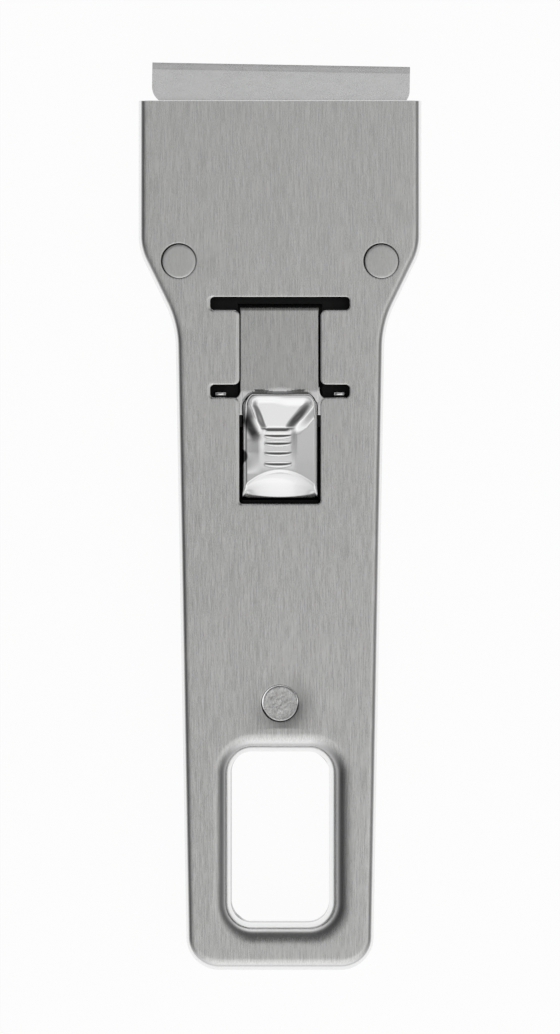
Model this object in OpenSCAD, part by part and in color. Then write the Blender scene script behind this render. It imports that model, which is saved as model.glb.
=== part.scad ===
// Ceramic hob scraper: two nested steel shells, a sliding blade carriage and a sprung thumb catch.
// It lies on its back. X runs across it, Y towards the blade, Z up to the front face.
// The origin is the middle of the flat back, halfway between the tail and the mouth.

/* [Housing] */
// Length of the housing from the tail to the mouth
body_length = 135; // [128:0.5:145]
// Depth of the housing from the back to the front face
body_depth = 9; // [8.8:0.1:10]
// Thickness of the pressed steel sheet
sheet = 0.8; // [0.7:0.05:0.85]
// Radius of the front shell's rolled edge
edge_radius = 1.3; // [1.1:0.05:1.5]
// Radius of the rear shell's rolled edge
rear_edge_radius = 1; // [0.9:0.05:1.05]
// Clearance between the walls of the two nested shells
nest_gap = 0.05; // [0.03:0.01:0.1]
// Length of the head's straight sides, which is also the length of its sloping back
head_length = 20.9; // [20:0.1:24]
// Rise of the back at the mouth
nose_rise = 4.8; // [4:0.1:5]
// Width of the rear shell's rolled edge that the front shell leaves bare
rear_reveal = 2.2; // [2:0.1:2.4]

/* [Handle] */
// Width that the handle's sides would have at the tail line
tail_width = 28.9; // [28:0.1:32]
// Lean of each side of the handle, in degrees
side_taper = 1.03; // [0.8:0.01:1.4]
// Lean of the shoulders, in degrees
shoulder_angle = 26; // [24:0.5:30]
// Radius of the shoulders, where the head starts to narrow
shoulder_radius = 9.5; // [8:0.1:11]
// Radius of the waist, where the shoulders run into the handle
waist_radius = 15.5; // [12:0.1:18]
// Radius of the corners at the tail
tail_radius = 5.2; // [4.5:0.1:6]

/* [Hanging hole] */
// Width of the clear opening
hole_width = 15.35; // [14:0.05:16]
// Length of the clear opening
hole_length = 26.6; // [24:0.1:28]
// Corner radius of the clear opening
hole_radius = 3.3; // [3:0.1:4]
// Distance from the tail to the clear opening
hole_margin = 7.3; // [7:0.1:9]
// Radius at which the front face rolls down into the opening
front_roll = 3; // [2.8:0.05:3.2]
// Radius at which the back rolls up round the front shell's collar
rear_roll = 1.6; // [1.4:0.05:1.8]
// Distance that the rear shell's collar stops below the start of the front shell's roll
rim_drop = 0.4; // [0.3:0.05:0.6]
// Distance from the back to the lower edge of the front shell's collar
collar_bottom = 2.6; // [2.4:0.1:3]

/* [Rivets] */
// Diameter of the two head rivets
head_rivet_diameter = 5.4; // [5:0.1:5.6]
// Distance from the side of the head to the middle of a head rivet
head_rivet_side = 6.25; // [6.1:0.05:6.3]
// Distance from the start of the shoulders to the middle of the head rivets
head_rivet_below = 4; // [3.8:0.1:4.2]
// Clearance round a head rivet in the sheet
head_rivet_gap = 0.1; // [0.05:0.01:0.12]
// Width of the shoulder on each head rivet that keeps the two sheets apart
head_rivet_shoulder = 0.3; // [0.2:0.05:0.35]
// Diameter of the tail rivet
tail_rivet_diameter = 5.2; // [4.8:0.1:5.4]
// Distance from the clear opening to the middle of the tail rivet
tail_rivet_above_hole = 7.6; // [7.4:0.1:9]
// Clearance round the tail rivet in the sheet
tail_rivet_gap = 0.22; // [0.1:0.01:0.25]
// Height of the tail rivet above the front face
tail_rivet_proud = 0.35; // [0.2:0.05:0.5]
// Wall of the tail rivet's spacer sleeve
tail_spacer_wall = 0.9; // [0.6:0.1:1]

/* [Thumb slot] */
// Distance from the mouth to the far edge of the lower cross slot, as a share of the housing's length
lock_share = 0.3415; // [0.338:0.0005:0.348]
// Travel of the blade between its two locked places
slide_travel = 13.6; // [12.5:0.1:14]
// Height of each cross slot
cross_height = 2; // [1.7:0.1:2.2]
// Width of each cross slot
cross_width = 21.6; // [21:0.1:23]
// Width of the long slot
neck_width = 12.6; // [11.5:0.1:13]
// Length of the long slot below the lower cross slot
thumb_slot_length = 16.5; // [15:0.1:18]
// Radius of the corners that the slot's arms make with the long slot
slot_fillet = 0.9; // [0.6:0.05:0.95]
// Radius of the slot's outer corners
slot_corner = 0.6; // [0.4:0.05:0.8]

/* [Thumb catch] */
// Gap between the catch and each side of the long slot
catch_side_gap = 0.13; // [0.1:0.01:0.25]
// Gap between the button and the lower end of the slot
button_end_gap = 0.85; // [0.6:0.05:1]
// Distance that the button reaches above the lower edge of the lower cross slot
button_reach = 1.5; // [1:0.1:1.6]
// Length of the flat tongue above the button
tongue_length = 12.5; // [10:0.1:12.8]
// Rise of the button above the tongue
button_rise = 2.2; // [1.6:0.1:2.6]
// Width of the flat strip along the top of the button
strip_width = 4.8; // [4:0.1:5.5]
// Depth of the thumb dish between the strip and the button's upper end
dish_depth = 0.7; // [0.4:0.05:0.9]
// Number of grip ridges on the strip
ridge_count = 4; // [2:1:5]
// Height of a grip ridge
ridge_height = 0.3; // [0.2:0.05:0.4]
// Width of each lug of the lock spring
lug_width = 1.9; // [1.5:0.1:2.2]
// Thickness of each lug of the lock spring
lug_thickness = 0.8; // [0.6:0.05:0.9]
// Gap between a lug and the lower edge of its cross slot
lug_gap = 0.2; // [0.1:0.05:0.3]
// Thickness of the lock spring's strip
spring_sheet = 0.5; // [0.4:0.05:0.6]

/* [Blade] */
// Width of the blade
blade_width = 40; // [38:0.1:45]
// Length of the blade from edge to edge
blade_length = 22; // [20:0.1:24]
// Thickness of the blade
blade_sheet = 0.3; // [0.2:0.02:0.4]
// Distance that the blade stands out of the mouth
blade_out = 5.6; // [5:0.1:6.2]
// Angle at which the blade sits in its play, in degrees
blade_skew = 1; // [0:0.1:1]
// Length of the notch in each side of the blade
notch_length = 9.4; // [9:0.1:10]
// Depth of the notch in each side of the blade
notch_depth = 1.2; // [1:0.05:1.5]
// Radius of the blade's corners at both ends of each notch
lobe_radius = 2.6; // [2.4:0.05:2.8]
// Width of the ground edge
grind_width = 0.75; // [0.5:0.05:1]

/* [Blade carriage] */
// Clearance between the carriage and what it slides past
slide_gap = 0.2; // [0.15:0.01:0.25]
// Clearance between the carriage and the walls at its sides
side_gap = 0.3; // [0.25:0.01:0.4]
// Distance from the mouth to the front edge of the carriage
carriage_back = 1; // [0.8:0.1:1.5]
// Length of the carriage under the blade
carriage_length = 16.6; // [16:0.1:17]
// Height of the slide plate's underside above the back
plate_height = 4; // [3.8:0.05:4.1]
// Length of the slide plate behind the root of the thumb catch
bridge_length = 6; // [4:0.1:8]

/* [Hidden] */
$fn = 64;
steel = [0.66, 0.66, 0.65];
bright_steel = [0.82, 0.82, 0.82];
blade_steel = [0.72, 0.72, 0.72];

// Overrun of every cut past the faces that it goes through, and of the shells' blanks past the mouth
overrun = 1.5;
mouth_overrun = sheet / 4;
// Steps in a rolled edge, in a short arc of an outline, in a quarter turn of one and in the hole's roll
roll_steps = 5;
arc_steps = 6;
corner_steps = 8;
hole_roll_steps = 8;

// Ends of the housing and the place where the head starts to narrow and its back to rise
mouth_y = body_length / 2;
tail_y = -body_length / 2;
head_start_y = mouth_y - head_length;

// The head holds the blade between both shells' walls
head_width = blade_width + 2 * (2 * sheet + nest_gap + side_gap);
// Inset of the rear shell's wall from the front shell's outer face
rear_inset = sheet + nest_gap;
rear_wall_top = body_depth - edge_radius - nest_gap;

// Centres of the outline's arcs on the right side: each inset copy shares them.
// A side line is given by its outward direction and its reach along that direction.
shoulder_centre = [head_width / 2 - shoulder_radius, head_start_y];
slope_reach = shoulder_centre * direction(-shoulder_angle) + shoulder_radius;
handle_reach = [tail_width / 2, tail_y] * direction(-side_taper);
waist_turn = shoulder_angle - side_taper;
waist_centre = [
    (handle_reach + waist_radius) * sin(shoulder_angle) - (slope_reach + waist_radius) * sin(side_taper),
    (handle_reach + waist_radius) * cos(shoulder_angle) - (slope_reach + waist_radius) * cos(side_taper)
] / sin(waist_turn);
tail_centre_y = tail_y + tail_radius;
tail_centre = [
    (handle_reach - tail_radius + tail_centre_y * sin(side_taper)) / cos(side_taper),
    tail_centre_y
];

// Rivets
hole_y = tail_y + hole_margin + hole_length / 2;
head_rivet_x = head_width / 2 - head_rivet_side;
head_rivet_y = head_start_y - head_rivet_below;
tail_rivet_y = hole_y + hole_length / 2 + tail_rivet_above_hole;
head_post_radius = head_rivet_diameter / 2 + head_rivet_shoulder;
rivet_chamfer = sheet / 8;

// Thumb slot
lock_y = mouth_y - lock_share * body_length;
slot_bottom_y = lock_y - thumb_slot_length;
slot_top_y = lock_y + slide_travel + cross_height;

// Levels of the parts that slide under the front sheet
slide_top = body_depth - sheet - slide_gap;
plate_top = plate_height + sheet;

// Thumb catch
catch_width = neck_width - 2 * catch_side_gap;
button_low_y = slot_bottom_y + button_end_gap;
button_high_y = lock_y + button_reach;
button_length = button_high_y - button_low_y;
tongue_end_y = button_high_y + tongue_length;
tongue_bottom = slide_top - sheet;
// The raised strip starts and ends at these shares of the button's length, and the dish ends at the last
strip_low_share = 0.24;
strip_high_share = 0.615;
wall_share = 0.925;
// Steps of the button's grid along the fan below the strip and along one ridge
fan_steps = 5;
ridge_steps = 6;
// Places of its rows along the dish and down the end wall, and of its columns across the strip and a flank
dish_row_shares = [0.06, 0.12, 0.3, 0.5, 0.7, 0.88, 1];
wall_row_shares = [0.25, 0.5, 0.75, 0.9, 1];
strip_column_shares = [-1, -0.75, -0.4, 0, 0.4, 0.75, 1];
flank_column_shares = [0.3, 0.55, 0.75, 0.9, 1];
// Half width of the dish at its end, as a share of the catch's half width
dish_end_share = 0.77;
// Depth of the dish along it, and the part of its half width over which each side rises
dish_depth_shares = [[0, 0], [0.12, 1], [0.88, 0.55], [1, 0]];
dish_side_share = 0.25;
// Ridges take this share of their pitch, and of the strip's width
ridge_width_share = 0.5;
ridge_length_share = 0.92;
// Powers that shape how the flanks, the fan and the end wall round over
flank_power = 2.2;
flank_round_power = 0.62;
fan_power = 1.25;
wall_power = 1.6;

// Lock spring: its lugs end just inside the cross slots
lug_out_gap = 0.6;
lug_x = cross_width / 2 - lug_out_gap - lug_width / 2;
arm_half_width = lug_x + lug_width / 2;
arm_depth = 2.6;
arm_clearance = 0.1;
arm_top_y = lock_y - arm_clearance;
arm_fillet = 1.2;
arm_root = sheet;
lug_low_y = lock_y + lug_gap;
lug_top = body_depth - slide_gap;
spring_depth = 4.4;

// Root of the thumb catch, where the strip bends
root_length = 4.4;
root_cut = 0.1;
root_y = slot_bottom_y - root_length;

// Slide plate
plate_low_y = root_y - sheet / 2 - root_cut - bridge_length;
// It passes between the head rivets, and at its lower end between the handle's walls
plate_margin = 1.6;
plate_half_width = min(
    head_rivet_x - head_post_radius - 2 * slide_gap,
    tail_width / 2 + (plate_low_y - tail_y) * tan(side_taper) - rear_inset - sheet - plate_margin
);
window_half_width = catch_width / 2 + slide_gap * 2;
window_top_y = tongue_end_y + side_gap * 4;
flange_bottom = sheet + side_gap;
// The flanges stop short of the sloping back at full travel
flange_end_gap = 2;
flange_top_y = head_start_y - slide_travel - flange_end_gap;
carriage_half_width = head_width / 2 - 2 * sheet - nest_gap - side_gap;
carriage_top = slide_top - blade_sheet;
carriage_high_y = mouth_y - carriage_back;
carriage_low_y = carriage_high_y - carriage_length;
// The carriage is joggled up from the plate between these places
joggle_length = 4;
joggle_back = 3.2;
joggle_high_y = carriage_low_y - joggle_back;
joggle_low_y = joggle_high_y - joggle_length;

// Blade and the ears that hold it by its notches
blade_y = mouth_y + blade_out - blade_length / 2;
ear_gap = 0.2;
ear_inner = blade_width / 2 - notch_depth + ear_gap;
ear_outer = carriage_half_width - ear_gap / 2;
// An ear stops short of the corners at both ends of its notch, so the blade has room to sit askew
ear_end_gap = 0.6;
corner_depth = sqrt(pow(lobe_radius, 2) - pow(lobe_radius - notch_depth + ear_gap, 2));
ear_reach = notch_length / 2 + lobe_radius - corner_depth - ear_end_gap;
edge_thickness_share = 0.15;

// Unit vector at an angle from X
function direction(angle) = [cos(angle), sin(angle)];

// Right side of the housing's outline, drawn in by an inset, from past the mouth to the tail
function body_side(inset) = [
    [head_width / 2 - inset, mouth_y + mouth_overrun + inset],
    for (k = [0:arc_steps])
        shoulder_centre + (shoulder_radius - inset) * direction(-shoulder_angle * k / arc_steps),
    for (k = [0:arc_steps])
        waist_centre - (waist_radius + inset) * direction(-shoulder_angle + waist_turn * k / arc_steps),
    for (k = [0:corner_steps])
        tail_centre + (tail_radius - inset)
            * direction(-side_taper - (90 - side_taper) * k / corner_steps)
];

// Whole outline: down the right side, then the same points mirrored, up the left side
function body_outline(inset) =
    let (side = body_side(inset))
    concat(side, [for (k = [len(side) - 1:-1:0]) [-side[k].x, side[k].y]]);

// Rise of the back at a place along the housing
function nose_lift(y) = max(0, y - head_start_y) * nose_rise / head_length;

// The outline as a line at a height; a lifted one follows the sloping back
function body_line(inset, z, lifted) =
    [for (p = body_outline(inset)) [p.x, p.y, z + lifted * nose_lift(p.y)]];

// Rolled edge and wall of a shell: a closed section carried along the outline, open at the mouth.
// Each point of the section is an inset, a height, and whether it follows the sloping back.
module rim(section) {
    sides = len(section);
    count = len(body_outline(0));
    polyhedron(
        points = [for (s = section) each body_line(s[0], s[1], s[2])],
        faces = concat(
            [for (s = [0:sides - 1], k = [0:count - 2])
                let (low = s * count + k, high = (s + 1) % sides * count + k)
                [low, low + 1, high + 1, high]],
            [[for (s = [0:sides - 1]) s * count]],
            [[for (s = [sides - 1:-1:0]) s * count + count - 1]]
        )
    );
}

// One turn round the hanging hole, drawn out from the clear opening by an offset
function hole_ring(offset, z) = [
    for (corner = [0:3], k = [0:corner_steps])
        let (turn = 90 - 90 * corner - 90 * k / corner_steps,
            side = direction(45 - 90 * corner) * sqrt(2))
        [
            side.x * (hole_width / 2 - hole_radius) + (hole_radius + offset) * cos(turn),
            hole_y + side.y * (hole_length / 2 - hole_radius) + (hole_radius + offset) * sin(turn),
            z
        ]
];

// Closed tube through a loop of turns
module ring_loop(rings) {
    count = len(rings[0]);
    polyhedron(
        points = [for (ring = rings) each ring],
        faces = [for (r = [0:len(rings) - 1], k = [0:count - 1])
            let (next = (k + 1) % count, above = (r + 1) % len(rings))
            [r * count + k, r * count + next, above * count + next, above * count + k]]
    );
}

// Outline of the hanging hole, drawn out from the clear opening by an offset
module hole_outline(offset) {
    polygon([for (p = hole_ring(offset, 0)) [p.x, p.y]]);
}

// Round hole through the whole housing
module through_hole(x, y, radius) {
    translate([x, y, -overrun])
        cylinder(r = radius, h = body_depth + 2 * overrun);
}

// Everything that is cut from a shell: the rivet holes, and its blank's overrun past the mouth
module shell_cuts() {
    translate([-head_width, mouth_y, -overrun])
        cube([2 * head_width, head_length, body_depth + 2 * overrun]);
    for (side = [-1, 1])
        through_hole(side * head_rivet_x, head_rivet_y, head_rivet_diameter / 2 + head_rivet_gap);
    through_hole(0, tail_rivet_y, tail_rivet_diameter / 2 + tail_rivet_gap);
}

// Rectangle with round corners, the same on both sides of the middle line
module rounded_slot(width, low, high) {
    translate([slot_corner - width / 2, low])
        square([width - 2 * slot_corner, high - low]);
    translate([-width / 2, low + slot_corner])
        square([width, high - low - 2 * slot_corner]);
    for (x = [slot_corner - width / 2, width / 2 - slot_corner], y = [low + slot_corner, high - slot_corner])
        translate([x, y])
            circle(r = slot_corner);
}

// Round fillet for an inner corner at the origin, with the two slots to its left and below it
module fillet(radius) {
    difference() {
        translate([-radius / 2, -radius / 2])
            square(1.5 * radius);
        translate([radius, radius])
            circle(r = radius);
    }
}

// Outline of the thumb slot: a long slot with two cross slots, one slide travel apart
module slot_outline() {
    rounded_slot(neck_width, slot_bottom_y, slot_top_y);
    for (lock = [0, slide_travel])
        rounded_slot(cross_width, lock_y + lock, lock_y + lock + cross_height);
    for (side = [0, 1])
        mirror([side, 0]) {
            translate([neck_width / 2, lock_y + cross_height])
                fillet(slot_fillet);
            for (lock = [0, slide_travel])
                translate([neck_width / 2, lock_y + lock])
                    mirror([0, 1])
                        fillet(slot_fillet);
        }
}

// Front shell: flat face, rolled edge and side walls, with a collar pressed into the hanging hole
module front_shell() {
    roll_inside = edge_radius - sheet;
    roll_level = body_depth - edge_radius;
    lap = edge_radius + sheet;
    section = [
        [lap, body_depth - sheet, 0],
        for (k = [0:roll_steps])
            let (turn = 90 * k / roll_steps)
            [edge_radius - roll_inside * sin(turn), roll_level + roll_inside * cos(turn), 0],
        [sheet, rear_reveal, 1],
        [0, rear_reveal, 1],
        for (k = [roll_steps:-1:0])
            let (turn = 90 * k / roll_steps)
            [edge_radius * (1 - sin(turn)), roll_level + edge_radius * cos(turn), 0],
        [lap, body_depth, 0]
    ];
    hole_level = body_depth - front_roll;
    collar = [
        hole_ring(sheet, collar_bottom),
        for (k = [0:hole_roll_steps])
            let (turn = 180 - 90 * k / hole_roll_steps)
            hole_ring(front_roll + (front_roll - sheet) * cos(turn),
                hole_level + (front_roll - sheet) * sin(turn)),
        hole_ring(front_roll + sheet, body_depth - sheet),
        hole_ring(front_roll + sheet, body_depth),
        for (k = [0:hole_roll_steps])
            let (turn = 90 + 90 * k / hole_roll_steps)
            hole_ring(front_roll + front_roll * cos(turn), hole_level + front_roll * sin(turn)),
        hole_ring(0, collar_bottom)
    ];
    color(steel)
        difference() {
            union() {
                rim(section);
                ring_loop(collar);
                translate([0, 0, body_depth - sheet])
                    linear_extrude(sheet)
                        difference() {
                            polygon(body_outline(edge_radius + sheet / 2));
                            hole_outline(front_roll + sheet / 2);
                            slot_outline();
                        }
            }
            shell_cuts();
        }
}

// Rear shell: flat back that slopes up to the mouth, rolled edge and walls inside the front shell's
module rear_shell() {
    roll_inside = rear_edge_radius - sheet;
    flat_inset = rear_inset + rear_edge_radius;
    lap = flat_inset + sheet;
    plate_inset = flat_inset + sheet / 2;
    section = [
        [lap, 0, 1],
        for (k = [0:roll_steps])
            let (turn = 90 * k / roll_steps)
            [flat_inset - rear_edge_radius * sin(turn), rear_edge_radius * (1 - cos(turn)), 1],
        [rear_inset, rear_wall_top, 0],
        [rear_inset + sheet, rear_wall_top, 0],
        for (k = [roll_steps:-1:0])
            let (turn = 90 * k / roll_steps)
            [flat_inset - roll_inside * sin(turn), rear_edge_radius - roll_inside * cos(turn), 1],
        [lap, sheet, 1]
    ];
    // The collar stands round the front shell's collar
    wall = sheet + nest_gap;
    hole_centre = wall + rear_roll;
    rim_level = body_depth - front_roll - rim_drop;
    collar = [
        hole_ring(wall, rim_level),
        for (k = [0:roll_steps])
            let (turn = 180 + 90 * k / roll_steps)
            hole_ring(hole_centre + rear_roll * cos(turn), rear_roll + rear_roll * sin(turn)),
        hole_ring(hole_centre + sheet, 0),
        hole_ring(hole_centre + sheet, sheet),
        for (k = [0:roll_steps])
            let (turn = 270 - 90 * k / roll_steps)
            hole_ring(hole_centre + (rear_roll - sheet) * cos(turn),
                rear_roll + (rear_roll - sheet) * sin(turn)),
        hole_ring(wall + sheet, rim_level)
    ];
    back_outline = body_outline(plate_inset);
    color(steel)
        difference() {
            union() {
                rim(section);
                ring_loop(collar);
                linear_extrude(sheet)
                    difference() {
                        polygon([for (k = [1:len(back_outline) - 2]) back_outline[k]]);
                        hole_outline(hole_centre + sheet / 2);
                    }
                across(head_width - 2 * plate_inset)
                    polygon([
                        [head_start_y - sheet, 0],
                        [head_start_y, 0],
                        [mouth_y + mouth_overrun, nose_lift(mouth_y + mouth_overrun)],
                        [mouth_y + mouth_overrun, nose_lift(mouth_y + mouth_overrun) + sheet],
                        [head_start_y, sheet],
                        [head_start_y - sheet, sheet]
                    ]);
            }
            shell_cuts();
        }
}

// Round rivet from the flat back to a height, with small chamfers at both ends
module rivet(diameter, height) {
    radius = diameter / 2;
    rotate_extrude()
        polygon([
            [0, 0],
            [radius - rivet_chamfer, 0],
            [radius, rivet_chamfer],
            [radius, height - rivet_chamfer],
            [radius - rivet_chamfer, height],
            [0, height]
        ]);
}

// Head rivet: its thicker middle keeps the two sheets apart
module head_rivet(side) {
    color(steel)
        translate([side * head_rivet_x, head_rivet_y, 0]) {
            rivet(head_rivet_diameter, body_depth);
            translate([0, 0, sheet])
                cylinder(r = head_post_radius, h = body_depth - 2 * sheet);
        }
}

module head_rivet_left() head_rivet(-1);

module head_rivet_right() head_rivet(1);

module tail_rivet() {
    color(bright_steel)
        translate([0, tail_rivet_y, 0])
            rivet(tail_rivet_diameter, body_depth + tail_rivet_proud);
}

// Sleeve round the tail rivet that keeps the two sheets apart
module tail_spacer() {
    bore_radius = tail_rivet_diameter / 2 + tail_rivet_gap;
    color(steel)
        translate([0, tail_rivet_y, sheet])
            difference() {
                cylinder(r = bore_radius + tail_spacer_wall, h = body_depth - 2 * sheet);
                translate([0, 0, -overrun])
                    cylinder(r = bore_radius, h = body_depth + 2 * overrun);
            }
}

// Side view, with Y to the right and Z up, drawn across a width about the middle
module across(width) {
    translate([-width / 2, 0, 0])
        rotate([90, 0, 90])
            linear_extrude(width)
                children();
}

// Slide plate: carriage under the blade, joggled neck, and a channel with a window under the tongue
module slide_plate() {
    carriage_bottom = carriage_top - sheet;
    color(steel) {
        difference() {
            across(2 * plate_half_width)
                polygon([
                    [plate_low_y, plate_height],
                    [joggle_low_y, plate_height],
                    [joggle_high_y, carriage_bottom],
                    [carriage_low_y + sheet, carriage_bottom],
                    [carriage_low_y + sheet, carriage_top],
                    [joggle_high_y, carriage_top],
                    [joggle_low_y, plate_top],
                    [plate_low_y, plate_top]
                ]);
            translate([-window_half_width, root_y - sheet / 2 - root_cut, plate_height - overrun])
                cube([2 * window_half_width, window_top_y - root_y, sheet + 2 * overrun]);
        }
        translate([-carriage_half_width, carriage_low_y, carriage_bottom])
            cube([2 * carriage_half_width, carriage_length, sheet]);
        for (side = [0, 1])
            mirror([side, 0, 0]) {
                translate([plate_half_width - sheet, plate_low_y, flange_bottom])
                    cube([sheet, flange_top_y - plate_low_y, plate_top - flange_bottom]);
                translate([ear_inner, blade_y - ear_reach, carriage_bottom])
                    cube([ear_outer - ear_inner, 2 * ear_reach, slide_top - carriage_bottom]);
            }
    }
}

// Half of the blade's outline on one side of its middle line: a lobe with rounded inner corners
module blade_lobe() {
    translate([-blade_width / 2, notch_length / 2 + lobe_radius])
        square([blade_width, blade_length / 2 - notch_length / 2 - lobe_radius]);
    translate([lobe_radius - blade_width / 2, notch_length / 2])
        square([blade_width - 2 * lobe_radius, lobe_radius]);
    for (side = [-1, 1])
        translate([side * (blade_width / 2 - lobe_radius), notch_length / 2 + lobe_radius])
            circle(r = lobe_radius);
}

// Blade: double-edged, with a notch in each side, turned a little in its play
module blade() {
    edge = blade_sheet * edge_thickness_share;
    half = blade_length / 2;
    color(blade_steel)
        translate([0, blade_y, carriage_top])
            rotate([0, 0, -blade_skew])
                intersection() {
                    linear_extrude(blade_sheet) {
                        blade_lobe();
                        mirror([0, 1])
                            blade_lobe();
                        square([blade_width - 2 * notch_depth, notch_length + 2 * lobe_radius], center = true);
                    }
                    across(2 * blade_width)
                        polygon([
                            [-half, blade_sheet / 2 - edge / 2],
                            [grind_width - half, 0],
                            [half - grind_width, 0],
                            [half, blade_sheet / 2 - edge / 2],
                            [half, blade_sheet / 2 + edge / 2],
                            [half - grind_width, blade_sheet],
                            [grind_width - half, blade_sheet],
                            [-half, blade_sheet / 2 + edge / 2]
                        ]);
                }
}

// Places along the button, as shares of its length: fan, ridged strip, dish and end wall
strip_rows = ridge_count * ridge_steps;
button_rows = [
    for (k = [0:fan_steps - 1]) strip_low_share * k / fan_steps,
    for (k = [0:strip_rows]) strip_low_share + (strip_high_share - strip_low_share) * k / strip_rows,
    for (place = dish_row_shares) strip_high_share + (wall_share - strip_high_share) * place,
    for (place = wall_row_shares) wall_share + (1 - wall_share) * place
];

// Place along the dish, from the strip's end to the end wall
function dish_place(row) = (row - strip_high_share) / (wall_share - strip_high_share);

// Half width of the strip, which widens along the dish
function crest(row) = strip_width / 2
    + (dish_end_share * catch_width - strip_width) / 2 * min(1, max(0, dish_place(row)));

// Places across the button: the left flank, the strip or dish, and the right flank
function button_columns(row) =
    let (out = crest(row), reach = catch_width / 2 - crest(row))
    [
        for (k = [len(flank_column_shares) - 1:-1:0]) -out - reach * flank_column_shares[k],
        for (place = strip_column_shares) out * place,
        for (place = flank_column_shares) out + reach * place
    ];

// Depth of the dish: it falls from the strip, and its floor rises to the end wall
function dish(x, row) =
    let (side = (1 - abs(x) / crest(row)) / dish_side_share)
    dish_depth * lookup(dish_place(row), dish_depth_shares) * max(0, min(1, side));

// Height of the button: the least of its flanks, the fan below the strip and the end wall, less the dish
function button_height(x, row) =
    let (out = max(0, abs(x) - crest(row)) / (catch_width / 2 - crest(row)),
        low = max(0, 1 - row / strip_low_share),
        high = max(0, (row - wall_share) / (1 - wall_share)))
    button_rise * min(
        pow(max(0, 1 - pow(out, flank_power)), flank_round_power),
        1 - pow(low, fan_power),
        1 - pow(high, wall_power)
    ) - dish(x, row);

// Height of the grip ridges: each is a round bump in its own part of the strip
function ridge(x, row) =
    let (place = (row - strip_low_share) / (strip_high_share - strip_low_share) * ridge_count,
        off = abs(place - floor(place) - 0.5) / (ridge_width_share / 2))
    place <= 0 || place >= ridge_count || off >= 1 || abs(x) > strip_width / 2 * ridge_length_share
        ? 0 : ridge_height * sqrt(1 - off * off);

// Closed sheet between an upper and a lower grid of points
module grid_sheet(upper, lower) {
    rows = len(upper);
    columns = len(upper[0]);
    low = rows * columns;
    function at(row, column) = row * columns + column;
    polyhedron(
        points = concat([for (line = upper) each line], [for (line = lower) each line]),
        faces = [
            for (r = [0:rows - 2], c = [0:columns - 2])
                each [
                    [at(r, c), at(r + 1, c), at(r + 1, c + 1)],
                    [at(r, c), at(r + 1, c + 1), at(r, c + 1)],
                    [low + at(r, c), low + at(r + 1, c + 1), low + at(r + 1, c)],
                    [low + at(r, c), low + at(r, c + 1), low + at(r + 1, c + 1)]
                ],
            for (r = [0:rows - 2])
                each [
                    [at(r + 1, 0), at(r, 0), low + at(r, 0), low + at(r + 1, 0)],
                    [at(r, columns - 1), at(r + 1, columns - 1),
                        low + at(r + 1, columns - 1), low + at(r, columns - 1)]
                ],
            for (c = [0:columns - 2])
                each [
                    [at(0, c), at(0, c + 1), low + at(0, c + 1), low + at(0, c)],
                    [at(rows - 1, c + 1), at(rows - 1, c),
                        low + at(rows - 1, c), low + at(rows - 1, c + 1)]
                ]
        ]
    );
}

// Thumb catch: raised button, flat tongue, two short arms, and a heel down to the root of the strip
module thumb_catch() {
    upper = [for (row = button_rows) [for (x = button_columns(row))
        [x, button_low_y + row * button_length, slide_top + button_height(x, row) + ridge(x, row)]]];
    lower = [for (row = button_rows) [for (x = button_columns(row))
        [x, button_low_y + row * button_length, tongue_bottom + button_height(x, row)]]];
    color(steel) {
        translate([-catch_width / 2, button_high_y - sheet / 2, tongue_bottom])
            cube([catch_width, tongue_length + sheet / 2, sheet]);
        for (side = [0, 1])
            mirror([side, 0, 0]) {
                translate([catch_width / 2 - arm_root, arm_top_y - arm_depth, tongue_bottom])
                    cube([arm_half_width - catch_width / 2 + arm_root, arm_depth, sheet]);
                translate([catch_width / 2, arm_top_y, tongue_bottom])
                    linear_extrude(sheet)
                        fillet(arm_fillet);
            }
        across(catch_width)
            polygon([
                [root_y, plate_height],
                [button_low_y + sheet, plate_height],
                [button_low_y + sheet, tongue_bottom + sheet / 2],
                [button_low_y, tongue_bottom + sheet / 2],
                [button_low_y, plate_top],
                [root_y, plate_top]
            ]);
        translate([0, root_y, plate_height + sheet / 2])
            rotate([0, 90, 0])
                cylinder(d = sheet, h = catch_width, center = true);
    }
    color(bright_steel)
        grid_sheet(upper, lower);
}

// Lock spring: cross strip under the arms, with a round-topped lug turned up at each end
module lock_spring() {
    strip_bottom = tongue_bottom - spring_sheet;
    color(bright_steel) {
        translate([-arm_half_width, arm_top_y - spring_depth, strip_bottom])
            cube([2 * arm_half_width, spring_depth, spring_sheet]);
        for (side = [-1, 1])
            translate([side * lug_x, 0, 0]) {
                translate([-lug_width / 2, arm_top_y - spring_sheet, strip_bottom])
                    cube([lug_width, lug_low_y + lug_thickness - arm_top_y + spring_sheet, spring_sheet]);
                translate([-lug_width / 2, lug_low_y, strip_bottom])
                    cube([lug_width, lug_thickness, lug_top - lug_width / 2 - strip_bottom]);
                translate([0, lug_low_y, lug_top - lug_width / 2])
                    rotate([-90, 0, 0])
                        cylinder(d = lug_width, h = lug_thickness);
            }
    }
}

front_shell();
rear_shell();
head_rivet_left();
head_rivet_right();
tail_rivet();
tail_spacer();
slide_plate();
blade();
thumb_catch();
lock_spring();
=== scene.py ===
import bpy
import bmesh
import numpy as np
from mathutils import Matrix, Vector
from mathutils.geometry import delaunay_2d_cdt


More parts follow.
